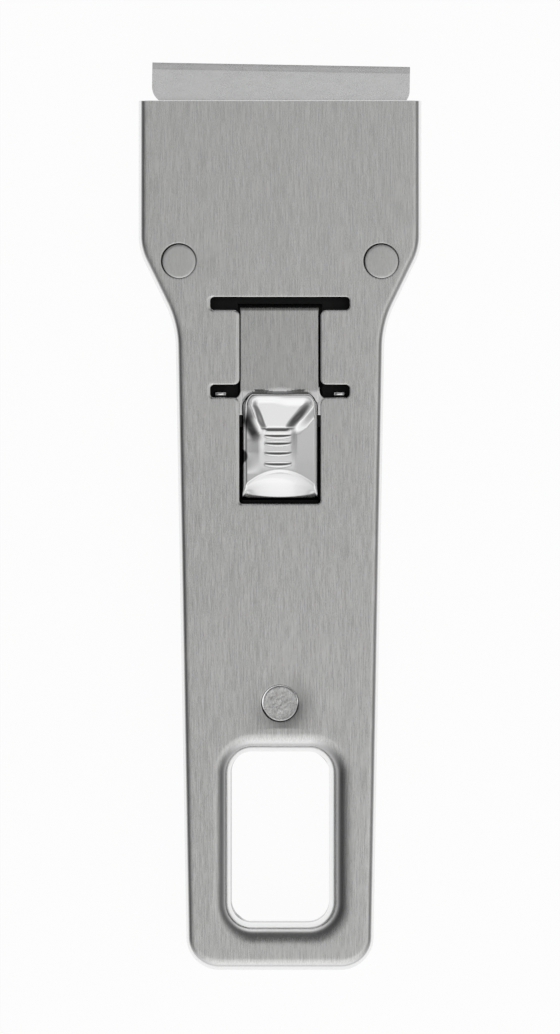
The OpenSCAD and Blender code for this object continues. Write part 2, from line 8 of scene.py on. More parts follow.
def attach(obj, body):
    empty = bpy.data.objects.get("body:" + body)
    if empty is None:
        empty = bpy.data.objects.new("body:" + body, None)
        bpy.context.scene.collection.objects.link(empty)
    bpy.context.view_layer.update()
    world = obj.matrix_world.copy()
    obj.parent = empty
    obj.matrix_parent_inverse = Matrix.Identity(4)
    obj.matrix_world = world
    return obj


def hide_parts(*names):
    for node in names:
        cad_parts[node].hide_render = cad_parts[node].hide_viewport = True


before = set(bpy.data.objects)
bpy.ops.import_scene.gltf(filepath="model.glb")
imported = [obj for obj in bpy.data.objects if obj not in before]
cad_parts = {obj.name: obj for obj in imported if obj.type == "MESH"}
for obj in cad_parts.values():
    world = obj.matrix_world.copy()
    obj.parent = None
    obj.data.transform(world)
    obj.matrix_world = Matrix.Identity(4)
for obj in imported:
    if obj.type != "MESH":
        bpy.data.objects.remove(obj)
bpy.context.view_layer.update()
mm = 0.001
print("frame loaded:", len(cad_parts), "nodes")

# Sizes, in millimetres
body = {
    "length": 135.0, "depth": 9.0, "sheet": 0.8, "headWidth": 43.9, "headLength": 20.9,
    "tailWidth": 28.9, "taper": 1.03, "shoulderAngle": 26.0,
    "shoulderRadius": 9.5, "waistRadius": 15.5, "tailRadius": 5.2,
    "noseRise": 4.8, "bendHalf": 1.2,          # the back's bend at the head is soft over twice this
    "frontRadius": 1.3, "tailExtra": 0.65, "frontWallBottom": 2.2,
    "rearInset": 0.85, "rearRadius": 1.0, "rearWallTop": 7.65,
    "edgeRound": 0.1, "mouthBevel": 0.8,        # rounding of cut edges, and the share of it at the mouth
    "frontLap": 0.25, "rearLap": 0.02,          # flat strip between a rim's roll and the flat sheet
    "frontDark": 0.2, "rearDark": 1.9,          # the inside is painted dark as shade this far from the walls
}
opening = {
    "width": 15.35, "length": 26.6, "radius": 3.3, "centreY": -46.9,
    "frontRoll": 3.25, "rollRight": 0.45, "rollUp": -0.2,   # the roll is wider at the right and the tail
    "frontBottom": 2.6, "lean": 0.13,                       # the wall leans in at the left and the top
    "rearOut": 0.85, "rearRoll": 1.6, "rearRim": 5.6, "frontLap": 0.5, "rearLap": 0.3, "rearClear": 2.3,
}
slot = {
    "neckHalf": 6.3, "crossHalf": 10.8, "lowY": 4.9, "lockY": 21.4, "crossHeight": 2.0,
    "travel": 13.6, "corner": 0.6, "fillet": 0.9, "roll": 0.2, "margin": 0.68, "burr": 0.04,
    "leftRoll": 0.56, "leftFall": 0.1,          # the left edges are worn to a flat slope
}
rivet = {
    "headX": 15.7, "headY": 42.6, "headRadius": 2.62, "headHole": 2.74, "postRadius": 3.0,
    "tailY": -26.0, "tailRadius": 2.66, "tailHole": 2.86, "proud": 0.35, "round": 0.16,
    "aside": (0.06, -0.07),                     # the heads sit off the middle of their holes
    "frontHole": (0.3, 0.12, 0.03), "rearHole": (0.09, 0.04, 0.05),      # margin, roll and burr of an edge
    "tailDip": (0.16, 1.6), "headDip": (0.02, 1.5),     # depth and reach of the dip round a head
    "dipWay": 55.0, "dipEven": 0.3, "dipFar": 2.5,      # it is deeper on the side towards this angle
    "pole": 0.12, "crown": 0.02, "neck": 0.35,
    "tailPole": 0.05, "tailRound": 0.2, "tailNeck": 0.2,
}
rivetHoles = [(-rivet["headX"], rivet["headY"], rivet["headHole"]),
        (rivet["headX"], rivet["headY"], rivet["headHole"]),
        (0.0, rivet["tailY"], rivet["tailHole"])]


# Share from 0 to 1 as a value goes from low to high, eased at both ends
def step(value, low, high):
    share = np.clip((value - low) / (high - low), 0.0, 1.0)
    return share * share * (3 - 2 * share)


# Unit vectors at angles in degrees, one row each
def direction(angles):
    turned = np.radians(angles)
    return np.stack([np.cos(turned), np.sin(turned)], axis=-1)


# A line through corner points, walked with the inside on its left. Each corner with a radius
# becomes an arc: the heading turns evenly from the old side's to the new side's, and the point is
# the arc's centre plus or minus the radius along the outward normal. Gives points and normals.
def roundedPath(corners, radii, steps, closed=True):
    corners = np.asarray(corners, dtype=float)
    count = len(corners)
    points, normals = [], []
    for k in range(count):
        here = corners[k]
        if not closed and k in (0, count - 1):
            along = corners[1] - here if k == 0 else here - corners[k - 1]
            heading = np.degrees(np.arctan2(along[1], along[0]))
            points.append(here[None])
            normals.append(direction(np.array([heading - 90.0])))
            continue
        before = here - corners[k - 1]
        after = corners[(k + 1) % count] - here
        start = np.degrees(np.arctan2(before[1], before[0]))
        turn = (np.degrees(np.arctan2(after[1], after[0])) - start + 180.0) % 360.0 - 180.0
        if radii[k] == 0:
            points.append(here[None])
            normals.append(direction(np.array([start + turn / 2 - 90.0])))
            continue
        side = 1.0 if turn > 0 else -1.0
        number = max(2, int(np.ceil(steps * abs(turn) / 90.0)))
        outward = direction(start - 90.0 + turn * np.linspace(0.0, 1.0, number + 1))
        back = before / np.linalg.norm(before) * radii[k] * np.tan(np.radians(abs(turn) / 2))
        centre = here - back - side * radii[k] * direction(np.array(start - 90.0))
        points.append(centre + side * radii[k] * outward)
        normals.append(outward)
    return np.vstack(points), np.vstack(normals)


# Rise of the back: a straight slope past the head's start, eased in by a parabola
def noseLift(y):
    start = body["length"] / 2 - body["headLength"]
    slope = body["noseRise"] / body["headLength"]
    half = body["bendHalf"]
    share = np.clip((y - start + half) / (2 * half), 0.0, 1.0)
    return slope * np.where(y > start + half, y - start, half * share ** 2)


# Outline of the housing, open at the mouth, from the left mouth round the tail to the right one
def bodyPath(mouthBack):
    mouth = body["length"] / 2
    tail = -mouth
    start = mouth - body["headLength"]
    half = body["headWidth"] / 2
    angle = np.radians(body["shoulderAngle"])
    lean = np.radians(body["taper"])
    corner = np.array([half, start - body["shoulderRadius"] * np.tan(angle / 2)])
    foot = np.array([body["tailWidth"] / 2, tail])
    slopeWay = np.array([-np.sin(angle), -np.cos(angle)])
    handleWay = np.array([np.sin(lean), np.cos(lean)])
    steps = np.linalg.solve(np.stack([slopeWay, -handleWay], axis=1), foot - corner)
    waist = corner + slopeWay * steps[0]
    bend = start + body["bendHalf"] * np.array([1.0, 0.66, 0.33])
    right = [foot, waist, corner] + [[half, y] for y in bend[::-1]] + [[half, mouth - mouthBack]]
    radii = [body["tailRadius"], body["waistRadius"], body["shoulderRadius"], 0, 0, 0, 0]
    corners = [[-x, y] for x, y in right[::-1]] + [list(p) for p in right]
    return roundedPath(corners, radii[::-1] + radii, 40, closed=False)


def openingPath():
    x, y = opening["width"] / 2, opening["length"] / 2
    low, high = opening["centreY"] - y, opening["centreY"] + y
    return roundedPath([[x, low], [x, high], [-x, high], [-x, low]], [opening["radius"]] * 4, 18)


def slotPath():
    neck, cross = slot["neckHalf"], slot["crossHalf"]
    low, lock, high = slot["lowY"], slot["lockY"], slot["crossHeight"]
    upper = lock + slot["travel"]
    right = [[neck, low], [neck, lock], [cross, lock], [cross, lock + high], [neck, lock + high],
            [neck, upper], [cross, upper], [cross, upper + high]]
    kinds = [slot["corner"], slot["fillet"], slot["corner"], slot["corner"], slot["fillet"],
            slot["fillet"], slot["corner"], slot["corner"]]
    corners = right + [[-x, y] for x, y in right[::-1]]
    return roundedPath(corners, kinds + kinds[::-1], 10)


def circlePath(x, y, radius, number=72):
    outward = direction(np.arange(number) * 360.0 / number)
    return np.array([x, y]) + radius * outward, outward


# Points of a section carried along a path: out along the normal, and up by the height, to which the
# share of the sloping back is added. A wider section shows how it grows, for each unit of extra.
def carried(section, path, wider=None, extra=0.0):
    points, normals = path
    growth = 0.0 if wider is None else (wider - section)[:, :2, None] * extra
    plan = section[:, :2, None] + growth
    xy = points[None] + plan[:, 0, :, None] * normals[None]
    z = plan[:, 1] + section[:, 2, None] * noseLift(xy[..., 1])
    return np.dstack([xy, z])


# Quads of a grid of points, whose columns may close on themselves
def gridFaces(rows, columns, closeColumns=False):
    r = np.arange(rows - 1)[:, None] * columns
    c = np.arange(columns if closeColumns else columns - 1)[None]
    right, down = (c + 1) % columns, r + columns
    return np.stack([r + c, r + right, down + right, down + c], axis=-1).reshape(-1, 4)


# Faces of a closed grid with a cap on its first and its last row
def cappedFaces(rows, columns):
    faces = gridFaces(rows, columns, closeColumns=True).tolist()
    return faces + [list(range(columns)), list(range((rows - 1) * columns, rows * columns))]


# Arc in a section, from one direction to another about a centre
def arc(centre, radius, fromAngle, toAngle, steps, lifted=0.0):
    around = np.array(centre) + radius * direction(np.linspace(fromAngle, toAngle, steps + 1))
    return np.column_stack([around, np.full(steps + 1, lifted)])


# Crossing rule: a point is inside when a ray from it crosses the polygon's sides an odd number of times
def insidePolygon(points, polygon):
    ax, ay = polygon[:, 0], polygon[:, 1]
    bx, by = np.roll(ax, -1), np.roll(ay, -1)
    px, py = points[:, 0, None], points[:, 1, None]
    spans = (ay > py) != (by > py)
    rise = np.where(by == ay, 1e-12, by - ay)
    return np.sum(spans & (px < (bx - ax) * (py - ay) / rise + ax), axis=1) % 2 == 1


# Distance of each point to the nearest side of a closed line
def sideDistance(points, line):
    side = np.roll(line, -1, axis=0) - line
    length = np.maximum(np.sum(side ** 2, axis=1), 1e-12)
    share = np.clip(np.sum((points[:, None] - line) * side, axis=2) / length, 0.0, 1.0)
    return np.min(np.linalg.norm(points[:, None] - line - share[..., None] * side, axis=2), axis=1)


# Triangles of a flat sheet inside one loop and outside the others, with loose points in it
def flatSheet(outer, holes, spacing, crossLines=()):
    loops = [outer] + list(holes)
    points = np.vstack(loops)
    edges, start = [], 0
    for loop in loops:
        number = np.arange(len(loop))
        edges.append(start + np.stack([number, np.roll(number, -1)], axis=1))
        start += len(loop)
    edges.extend(np.array([line]) for line in crossLines)
    low, high = outer.min(axis=0), outer.max(axis=0)
    xs = np.arange(low[0] + spacing / 2, high[0], spacing)
    ys = np.arange(low[1] + spacing / 2, high[1], spacing)
    loose = np.stack(np.meshgrid(xs, ys), axis=-1).reshape(-1, 2)
    keep = insidePolygon(loose, outer) & (sideDistance(loose, outer) > spacing * 0.4)
    for hole in holes:
        keep &= ~insidePolygon(loose, hole) & (sideDistance(loose, hole) > spacing * 0.4)
    for a, b in crossLines:
        keep &= np.abs(loose[:, 1] - points[a, 1]) > spacing * 0.2
    found = delaunay_2d_cdt([Vector(p) for p in np.vstack([points, loose[keep]]).tolist()],
            np.vstack(edges).tolist(), [], 0, 1e-7)
    flat = np.array([list(v) for v in found[0]])
    faces = np.array([list(f) for f in found[2]])
    middle = flat[faces].mean(axis=1)
    inside = insidePolygon(middle, outer)
    for hole in holes:
        inside &= ~insidePolygon(middle, hole)
    return flat, faces[inside]


def addObject(name, data):
    thing = bpy.data.objects.new(name, data)
    bpy.context.scene.collection.objects.link(thing)
    return thing


def newMaterial(name):
    material = bpy.data.materials.new(name)
    material.use_nodes = True
    return material, material.node_tree, material.node_tree.nodes["Principled BSDF"]


# Puts blocks of points and faces into one mesh, merges what meets, and turns all faces outward.
# masks gives an attribute of the mesh for each name, worked out from the points.
def makePiece(name, blocks, bodyName, replaced, material, masks, sharp=32.0):
    vertices, faces, start = [], [], 0
    for points, quads in blocks:
        points = np.asarray(points).reshape(-1, 3)
        vertices.append(points)
        faces.extend([start + int(n) for n in quad] for quad in quads)
        start += len(points)
    vertices = np.vstack(vertices)
    mesh = bpy.data.meshes.new(name)
    mesh.from_pydata((vertices * mm).tolist(), [], faces)
    for key, values in masks.items():
        layer = mesh.attributes.new(key, "FLOAT", "POINT")
        layer.data.foreach_set("value", np.ascontiguousarray(values(vertices), dtype=np.float32))
    build = bmesh.new()
    build.from_mesh(mesh)
    bmesh.ops.remove_doubles(build, verts=build.verts, dist=1.5e-6)
    bmesh.ops.dissolve_degenerate(build, edges=build.edges, dist=1e-7)
    bmesh.ops.recalc_face_normals(build, faces=build.faces)
    gaps = sum(len(edge.link_faces) != 2 for edge in build.edges)
    build.to_mesh(mesh)
    build.free()
    mesh.polygons.foreach_set("use_smooth", np.ones(len(mesh.polygons), dtype=bool))
    mesh.set_sharp_from_angle(angle=np.radians(sharp))
    mesh.materials.append(material)
    piece = addObject(name, mesh)
    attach(piece, bodyName)
    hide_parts(*replaced)
    print("made", name, len(mesh.polygons), "faces, open edges:", gaps)


# Finishes
# A node with its inputs: a socket is linked, and anything else becomes the input's value
def addNode(tree, kind, inputs=None, **settings):
    node = tree.nodes.new(kind)
    for key, value in settings.items():
        setattr(node, key, value)
    for key, value in (inputs or {}).items():
        socket = node.inputs[key]
        if isinstance(value, bpy.types.NodeSocket):
            tree.links.new(value, socket)
        else:
            socket.default_value = value
    return node


# A node group: inputs named Vector or Normal are vectors, and all others are numbers
def newGroup(name, inputs, outputs):
    tree = bpy.data.node_groups.new(name, "ShaderNodeTree")
    for way, sockets in (("INPUT", inputs), ("OUTPUT", outputs)):
        for key in sockets:
            kind = "NodeSocketVector" if key in ("Vector", "Normal") else "NodeSocketFloat"
            tree.interface.new_socket(key, in_out=way, socket_type=kind)
    return tree, tree.nodes.new("NodeGroupInput").outputs, tree.nodes.new("NodeGroupOutput")


def math(tree, operation, a, b=0.0, c=0.0, clamp=False):
    node = addNode(tree, "ShaderNodeMath", {0: a, 1: b, 2: c}, operation=operation, use_clamp=clamp)
    return node.outputs[0]


# The same easing as step, as a node
def eased(tree, value, low, high):
    return addNode(tree, "ShaderNodeMapRange", {"Value": value, "From Min": low, "From Max": high},
            interpolation_type="SMOOTHSTEP").outputs["Result"]


def noise(tree, place, scale, detail, roughness, distortion=0.0):
    return addNode(tree, "ShaderNodeTexNoise", {"Vector": place, "Scale": scale, "Detail": detail,
            "Roughness": roughness, "Distortion": distortion}).outputs["Fac"]


# Brushing: noise drawn out along Y, in fine lines over broader bands
def makeBrushing():
    tree, given, out = newGroup("brushedLines", ["Vector", "Lines per metre", "Stretch"], ["Fine", "Bands"])
    finest = given["Lines per metre"]
    along = math(tree, "MULTIPLY", finest, given["Stretch"])
    scale = addNode(tree, "ShaderNodeCombineXYZ", {"X": finest, "Y": along, "Z": finest}).outputs[0]
    place = addNode(tree, "ShaderNodeVectorMath", {0: given["Vector"], 1: scale},
            operation="MULTIPLY").outputs[0]
    tree.links.new(eased(tree, noise(tree, place, 1.0, 3.0, 0.75), 0.3, 0.7), out.inputs["Fine"])
    tree.links.new(eased(tree, noise(tree, place, 0.13, 2.0, 0.6), 0.3, 0.7), out.inputs["Bands"])
    return tree


# Handling marks: soft blotches, and thin scratches where a stretched noise passes a level
def makeMarks():
    tree, given, out = newGroup("handlingMarks", ["Vector", "Blotch size", "Scratch size"],
            ["Blotches", "Scratches"])
    blotch = noise(tree, given["Vector"], given["Blotch size"], 4.0, 0.6, 0.6)
    tree.links.new(eased(tree, blotch, 0.35, 0.7), out.inputs["Blotches"])
    turned = addNode(tree, "ShaderNodeMapping", {"Vector": given["Vector"], "Rotation": (0.0, 0.0, 0.5),
            "Scale": (1.0, 0.05, 1.0)}).outputs[0]
    level = math(tree, "SUBTRACT", noise(tree, turned, given["Scratch size"], 2.0, 0.5), 0.62)
    ridge = eased(tree, math(tree, "ABSOLUTE", level), 0.0, 0.012)
    tree.links.new(math(tree, "SUBTRACT", 1.0, ridge), out.inputs["Scratches"])
    return tree


# Rolled mask: 0 on faces that lie flat, 1 where the sheet turns over an edge, and 0 again on upright
# walls, which have a mask of their own
def makeRolled():
    tree, given, out = newGroup("rolledEdge", ["Normal"], ["Rolled", "Wall"])
    level = math(tree, "ABSOLUTE", addNode(tree, "ShaderNodeSeparateXYZ", {0: given["Normal"]}).outputs["Z"])
    wall = math(tree, "SUBTRACT", 1.0, eased(tree, level, 0.02, 0.09))
    rolled = math(tree, "SUBTRACT", 1.0, eased(tree, level, 0.85, 0.995))
    tree.links.new(math(tree, "MULTIPLY", rolled, math(tree, "SUBTRACT", 1.0, wall)), out.inputs["Rolled"])
    tree.links.new(wall, out.inputs["Wall"])
    return tree


brushing, marks, rolledEdge = makeBrushing(), makeMarks(), makeRolled()


def useGroup(tree, group, inputs):
    return addNode(tree, "ShaderNodeGroup", inputs, node_tree=group).outputs


def attribute(tree, name):
    return addNode(tree, "ShaderNodeAttribute", attribute_name=name).outputs["Fac"]


# Steel: brushing shades the colour and the roughness, and cuts the surface by its line depth. Where a
# piece has an attribute "polish", that share is polished, and its painted-shade share is darkened as painted
# shade.
def makeSteel(name, look):
    material, tree, shader = newMaterial(name)
    place = addNode(tree, "ShaderNodeTexCoord").outputs
    lines = useGroup(tree, brushing, {"Vector": place["Object"], "Lines per metre": look["lines"],
            "Stretch": look["stretch"]})
    worn = useGroup(tree, marks, {"Vector": place["Object"], "Blotch size": look["blotch"],
            "Scratch size": look["scratch"]})
    darker = []
    if look["attribute"]:
        smooth = attribute(tree, "polish")
    else:
        edges = useGroup(tree, rolledEdge, {"Normal": place["Normal"]})
        smooth = math(tree, "MULTIPLY", edges["Rolled"], look["rollPolish"])
        darker.append((edges["Wall"], look["wallShade"]))       # painted shade: upright walls are darkened against the face
    if look["paintedShade"]:
        darker.append((attribute(tree, "paintedShade"), look["paintedShade"]))
    brushed = math(tree, "SUBTRACT", 1.0, smooth)
    centred = (lines["Fine"], lines["Bands"], worn["Blotches"])
    fine, bands, blotches = (math(tree, "SUBTRACT", mark, 0.5) for mark in centred)
    shade = math(tree, "MULTIPLY", fine, look["fineShade"])
    shade = math(tree, "MULTIPLY_ADD", bands, look["bandShade"], shade)
    shade = math(tree, "MULTIPLY_ADD", shade, brushed, 1.0)
    shade = math(tree, "MULTIPLY_ADD", blotches, look["blotchShade"], shade)
    shade = math(tree, "MULTIPLY_ADD", worn["Scratches"], look["scratchShade"], shade)
    for mask, loss in darker:
        shade = math(tree, "MULTIPLY", shade, math(tree, "MULTIPLY_ADD", mask, -loss, 1.0))
    colour = addNode(tree, "ShaderNodeMix", {"Factor": smooth, 6: (*look["colour"], 1.0),
            7: (*look["polished"], 1.0)}, data_type="RGBA").outputs[2]
    tinted = addNode(tree, "ShaderNodeVectorMath", {0: colour, "Scale": shade}, operation="SCALE").outputs[0]
    tree.links.new(tinted, shader.inputs["Base Color"])
    rough = math(tree, "MULTIPLY_ADD", lines["Fine"], look["roughSpread"], look["rough"])
    rough = math(tree, "MULTIPLY_ADD", worn["Blotches"], look["roughBlotch"], rough)
    even = math(tree, "MULTIPLY_ADD", worn["Blotches"], look["roughBlotch"], look["smoothRough"])
    rough = addNode(tree, "ShaderNodeMix", {"Factor": smooth, 2: rough, 3: even}).outputs[0]
    tree.links.new(rough, shader.inputs["Roughness"])
    shader.inputs["Metallic"].default_value = 1.0
    height = math(tree, "MULTIPLY", lines["Fine"], brushed)
    height = math(tree, "MULTIPLY_ADD", worn["Scratches"], -0.5, height)
    bump = addNode(tree, "ShaderNodeBump", {"Height": height, "Strength": look["bump"],
            "Distance": look["depth"]})
    tree.links.new(bump.outputs["Normal"], shader.inputs["Normal"])
    return material


# Steel looks; the last key is how strongly the painted shade darkens
base = {
    "colour": (0.69, 0.69, 0.68), "polished": (0.92, 0.92, 0.92), "lines": 5000.0, "stretch": 0.05,
    "blotch": 60.0, "scratch": 500.0, "fineShade": 0.32, "bandShade": 0.05, "blotchShade": 0.03,
    "scratchShade": 0.02, "rough": 0.22, "roughSpread": 0.08, "roughBlotch": 0.04, "smoothRough": 0.14,
    "rollPolish": 0.8, "wallShade": 0.45, "bump": 0.35, "depth": 0.00001, "attribute": False, "paintedShade": 0.97,
}
steelShell = makeSteel("brushedShell", base)
steelRivet = makeSteel("groundRivet", {**base, "lines": 3000.0, "stretch": 0.3, "fineShade": 0.14,
        "rough": 0.26})
steelPeened = makeSteel("peenedRivet", {**base, "colour": (0.70, 0.70, 0.69), "lines": 3600.0, "stretch": 0.7,
        "fineShade": 0.45, "blotch": 900.0, "blotchShade": -0.2, "bump": 0.7,
        "depth": 0.00004, "rough": 0.24, "rollPolish": 1.0})
# Near-black sheet: painted shade for pieces deep inside the housing
steelPaintedShade = makeSteel("paintedShadeSheet", {**base, "colour": (0.03, 0.03, 0.03), "polished": (0.04, 0.04, 0.04),
        "fineShade": 0.1, "rough": 0.4, "smoothRough": 0.35, "paintedShade": 0.0})
steelBlade = makeSteel("bladeSteel", {**base, "colour": (0.93, 0.93, 0.93), "lines": 3500.0, "stretch": 2.5,
        "fineShade": 0.14, "rough": 0.24, "rollPolish": 0.0, "blotch": 200.0,
        "blotchShade": 0.05, "paintedShade": 0.0})
steelCatch = makeSteel("catchSteel", {**base, "colour": (0.61, 0.61, 0.60), "polished": (0.93, 0.93, 0.93),
        "smoothRough": 0.1, "attribute": True})
steelSpring = makeSteel("springSteel", {**base, "colour": (0.85, 0.85, 0.85), "rough": 0.12,
        "smoothRough": 0.1, "fineShade": 0.06})
print("finishes made")


# Shells
# Moves the ends of a section inwards, for the bevel where it ends at the mouth: each point goes back
# along the mean of its two sides' normals
def shrunk(section, side, amount):
    way = np.diff(section[:, :2], axis=0)
    normal = side * np.column_stack([-way[:, 1], way[:, 0]]) / np.linalg.norm(way, axis=1)[:, None]
    mean = np.vstack([normal[:1], normal[1:] + normal[:-1], normal[-1:]])
    mean /= np.linalg.norm(mean, axis=1)[:, None]
    moved = section.copy()
    moved[:, :2] -= amount * mean
    return moved


# Rim of a shell: the section is carried round the outline, its ends are bevelled and capped at the
# mouth, and a strip across the mouth joins the caps
def shellRim(section, path, side, wider=None, extra=0.0):
    edge = body["edgeRound"]
    points, normals = path
    longer = (np.vstack([points[:1] + [0, edge], points, points[-1:] + [0, edge]]),
            np.vstack([normals[:1], normals, normals[-1:]]))
    if wider is not None:
        extra = np.concatenate([extra[:1], extra, extra[-1:]])
    grid = carried(section, longer, wider, extra)
    small = carried(shrunk(section, side, edge * body["mouthBevel"]), longer)
    grid[:, 0], grid[:, -1] = small[:, 0], small[:, -1]
    rows, columns = grid.shape[:2]
    faces = gridFaces(rows, columns).tolist()
    half = rows // 2
    for end in (0, columns - 1):
        k = np.arange(half - 1)
        caps = np.stack([k, k + 1, rows - 2 - k, rows - 1 - k], axis=1) * columns + end
        faces.extend(caps.tolist())
    last = (rows - 1) * columns
    left = [1, 0, last, last + 1]
    right = [columns - 2, columns - 1, last + columns - 1, last + columns - 2]
    faces.extend([left[k], left[k + 1], right[k + 1], right[k]] for k in range(3))
    return grid, faces


# Section of a hole's edge in a flat sheet: the upper side rolls over, and the lower is nearly sharp
def holeSection(top, bottom, margin, roll, burr, steps):
    upper = arc((roll, top - roll), roll, 90.0, 180.0, steps)
    return np.vstack([[[margin, top, 0.0]], upper, [[0.0, bottom + burr, 0.0], [burr, bottom, 0.0],
            [margin, bottom, 0.0]]])


# Section of the front shell's rim: it rolls down from the face to the wall
def frontRim(radius):
    top, sheet, edge, bottom = body["depth"], body["sheet"], body["edgeRound"], body["frontWallBottom"]
    lap = radius + body["frontLap"]
    return np.vstack([
        [[-lap, top, 0.0]],
        arc((-radius, top - radius), radius, 90.0, 0.0, 16),
        arc((-edge, bottom + edge), edge, 0.0, -90.0, 3, 1.0),
        arc((edge - sheet, bottom + edge), edge, -90.0, -180.0, 3, 1.0),
        arc((-radius, top - radius), radius - sheet, 0.0, 90.0, 16),
        [[-lap, top - sheet, 0.0]],
    ])


# Closed strip of a section round a closed path
def closedStrip(section, path, wider=None, extra=0.0):
    grid = carried(section, path, wider, extra)
    return grid, gridFaces(*grid.shape[:2], closeColumns=True)


# Dips of the front face: round each rivet it is drawn in, by a depth that fades with the distance
# from the hole, and that is greatest on the side towards the lower right
def faceDip(points):
    x, y = points[..., 0], points[..., 1]
    total = np.zeros(x.shape)
    for cx, cy, _ in rivetHoles[::-1]:
        depth, reach = rivet["tailDip"] if cx == 0.0 else rivet["headDip"]
        away = np.hypot(x - cx, y - cy)
        turn = np.arctan2(y - cy, x - cx) + np.radians(rivet["dipWay"])
        share = (0.5 + 0.5 * np.cos(turn)) * np.clip(away / rivet["dipFar"], 0.0, 1.0)
        side = rivet["dipEven"] + (1 - rivet["dipEven"]) * share
        total -= depth * side * np.exp(-np.clip(away - rivet["headHole"], 0.0, None) / reach)
    return total


# Share of a wall that leans in and stays dark: the left side and the top of the opening
def leftAndTop(normals):
    return step(np.maximum(-normals[:, 0], normals[:, 1]), 0.25, 0.65)


# Front collar: at each point round the opening the sheet rolls down through a quarter circle, whose
# radius grows with the outward normal's share to the right and to the tail, to an upright wall
def frontCollar(around, top, sheet):
    points, normals = around
    edge, low, lap = body["edgeRound"], opening["frontBottom"], opening["frontLap"]
    radius = opening["frontRoll"] + opening["rollRight"] * normals[:, 0] + opening["rollUp"] * normals[:, 1]
    lean = -opening["lean"] * leftAndTop(normals)
    bend = np.radians(np.linspace(90.0, 180.0, 27))[:, None]
    foot = np.radians(np.linspace(180.0, 270.0, 4))[:, None]
    heel = foot + np.pi / 2
    flat = np.ones(len(points))
    outs = [radius + lap, radius * (1 + np.cos(bend)), edge * (1 + np.cos(foot)) + lean,
            sheet - edge + edge * np.cos(heel) + lean, radius + (radius - sheet) * np.cos(bend[::-1]),
            radius + lap]
    highs = [top * flat, top - radius * (1 - np.sin(bend)), low + edge * (1 + np.sin(foot)) * flat,
            low + edge * (1 + np.sin(heel)) * flat, top - radius + (radius - sheet) * np.sin(bend[::-1]),
            (top - sheet) * flat]
    out, high = (np.vstack(rows) for rows in (outs, highs))
    grid = np.dstack([points[None] + out[..., None] * normals[None], high])
    return grid, gridFaces(*out.shape, closeColumns=True), points + (radius + lap)[:, None] * normals


# Painted shade and painted reflection: how dark the leaning wall, the collar's roll and the face round the
# tail rivet are made
paintedShadeMarks = {
    "wall": 0.9,                                        # where the opening's wall leans in
    "rollLeft": 0.3, "rollRight": 0.45, "rollAt": 1.4, "rollAtRight": 0.45, "rollWide": 0.75,
    "rivetEven": 0.12, "rivetBelow": 0.4, "rivetWay": 60.0, "rivetAt": 2.8, "rivetWide": 1.9,
}


# Painted shade of the front shell: its inside, the rivet holes' walls, the lower part of the slot's
# edge and the wall of the opening where it leans in are darkened as shade, and the collar's roll and
# the face round the tail rivet get painted shade and painted reflection
def frontPaintedShade(points):
    t = paintedShadeMarks
    top, sheet, deep = body["depth"], body["sheet"], 3.0
    x, y, z = points.T
    share = np.zeros(len(points))
    for side, middle, hole in rivetHoles:
        share[(np.hypot(x - side, y - middle) < hole + 0.02) & (z < top - 0.1 + faceDip(points))] = 1.0
    line, normals = openingPath()
    nearest = np.argmin(np.linalg.norm(points[:, None, :2] - line, axis=2), axis=1)
    way = normals[nearest]
    out = np.sum((points[:, :2] - line[nearest]) * way, axis=1)
    outline = bodyPath(0.0)[0]
    clear = sideDistance(points[:, :2], outline) > sheet + body["frontDark"]
    share[insidePolygon(points[:, :2], outline) & clear & (out > deep) & (z < top - 0.55)] = 1.0
    wall = (out < 0.3) & (z < top - deep)
    share[wall] = t["wall"] * leftAndTop(way)[wall]
    left, right = np.clip(-way[:, 0], 0.0, 1.0), np.clip(way[:, 0], 0.0, 1.0)
    away = (out - t["rollAt"] - t["rollAtRight"] * right) / t["rollWide"]
    roll = (t["rollLeft"] * left + t["rollRight"] * right) * np.exp(-away ** 2) * (z > top - deep)
    turn = np.arctan2(y - rivet["tailY"], x) + np.radians(t["rivetWay"])
    away = (np.hypot(x, y - rivet["tailY"]) - t["rivetAt"]) / t["rivetWide"]
    spot = (t["rivetEven"] + t["rivetBelow"] * (0.5 + 0.5 * np.cos(turn))) * np.exp(-away ** 2)
    return np.maximum(share, np.maximum(roll, spot * (z > top - 0.5) * (out > 2.7)))


def makeFrontShell():
    top, sheet, radius = body["depth"], body["sheet"], body["frontRadius"]
    under = top - sheet
    path = bodyPath(body["edgeRound"])
    extra = body["tailExtra"] * np.clip(-path[1][:, 1], 0.0, 1.0) ** 2
    blocks = [shellRim(frontRim(radius), path, 1.0, frontRim(radius + 1.0), extra)]
    grid, quads, limit = frontCollar(openingPath(), top, sheet)
    blocks.append((grid, quads))
    line = slotPath()
    rim = holeSection(top, under, slot["margin"], slot["roll"], slot["burr"], 8)
    worn, fall = rim.copy(), np.linspace(0.0, 1.0, len(rim) - 5)
    worn[1:-4, 0] = slot["leftRoll"] * (1 - fall) + slot["burr"] * fall
    worn[1:-4, 1] = top - slot["leftFall"] * fall ** 1.3
    blocks.append(closedStrip(rim, line, worn, np.clip(-line[1][:, 0], 0.0, 1.0)))
    holes = [limit, line[0] + slot["margin"] * line[1]]
    rim = holeSection(top, under, *rivet["frontHole"], 5)
    for x, y, hole in rivetHoles:
        line = circlePath(x, y, hole)
        blocks.append(closedStrip(rim, line))
        holes.append(line[0] + rim[0, 0] * line[1])
    outer = path[0] - (radius + body["frontLap"] + extra)[:, None] * path[1]
    flat, faces = flatSheet(outer, holes, 0.8)
    for level in (top, under):
        blocks.append((np.column_stack([flat, np.full(len(flat), level)]), faces))
    dipped = []
    for points, quads in blocks:
        points = np.array(points).reshape(-1, 3)
        points[:, 2] += np.where(points[:, 2] > under - 0.3, faceDip(points), 0.0)
        dipped.append((points, quads))
    makePiece("frontShell", dipped, "housing", ["front_shell"], steelShell,
            {"paintedShade": frontPaintedShade})
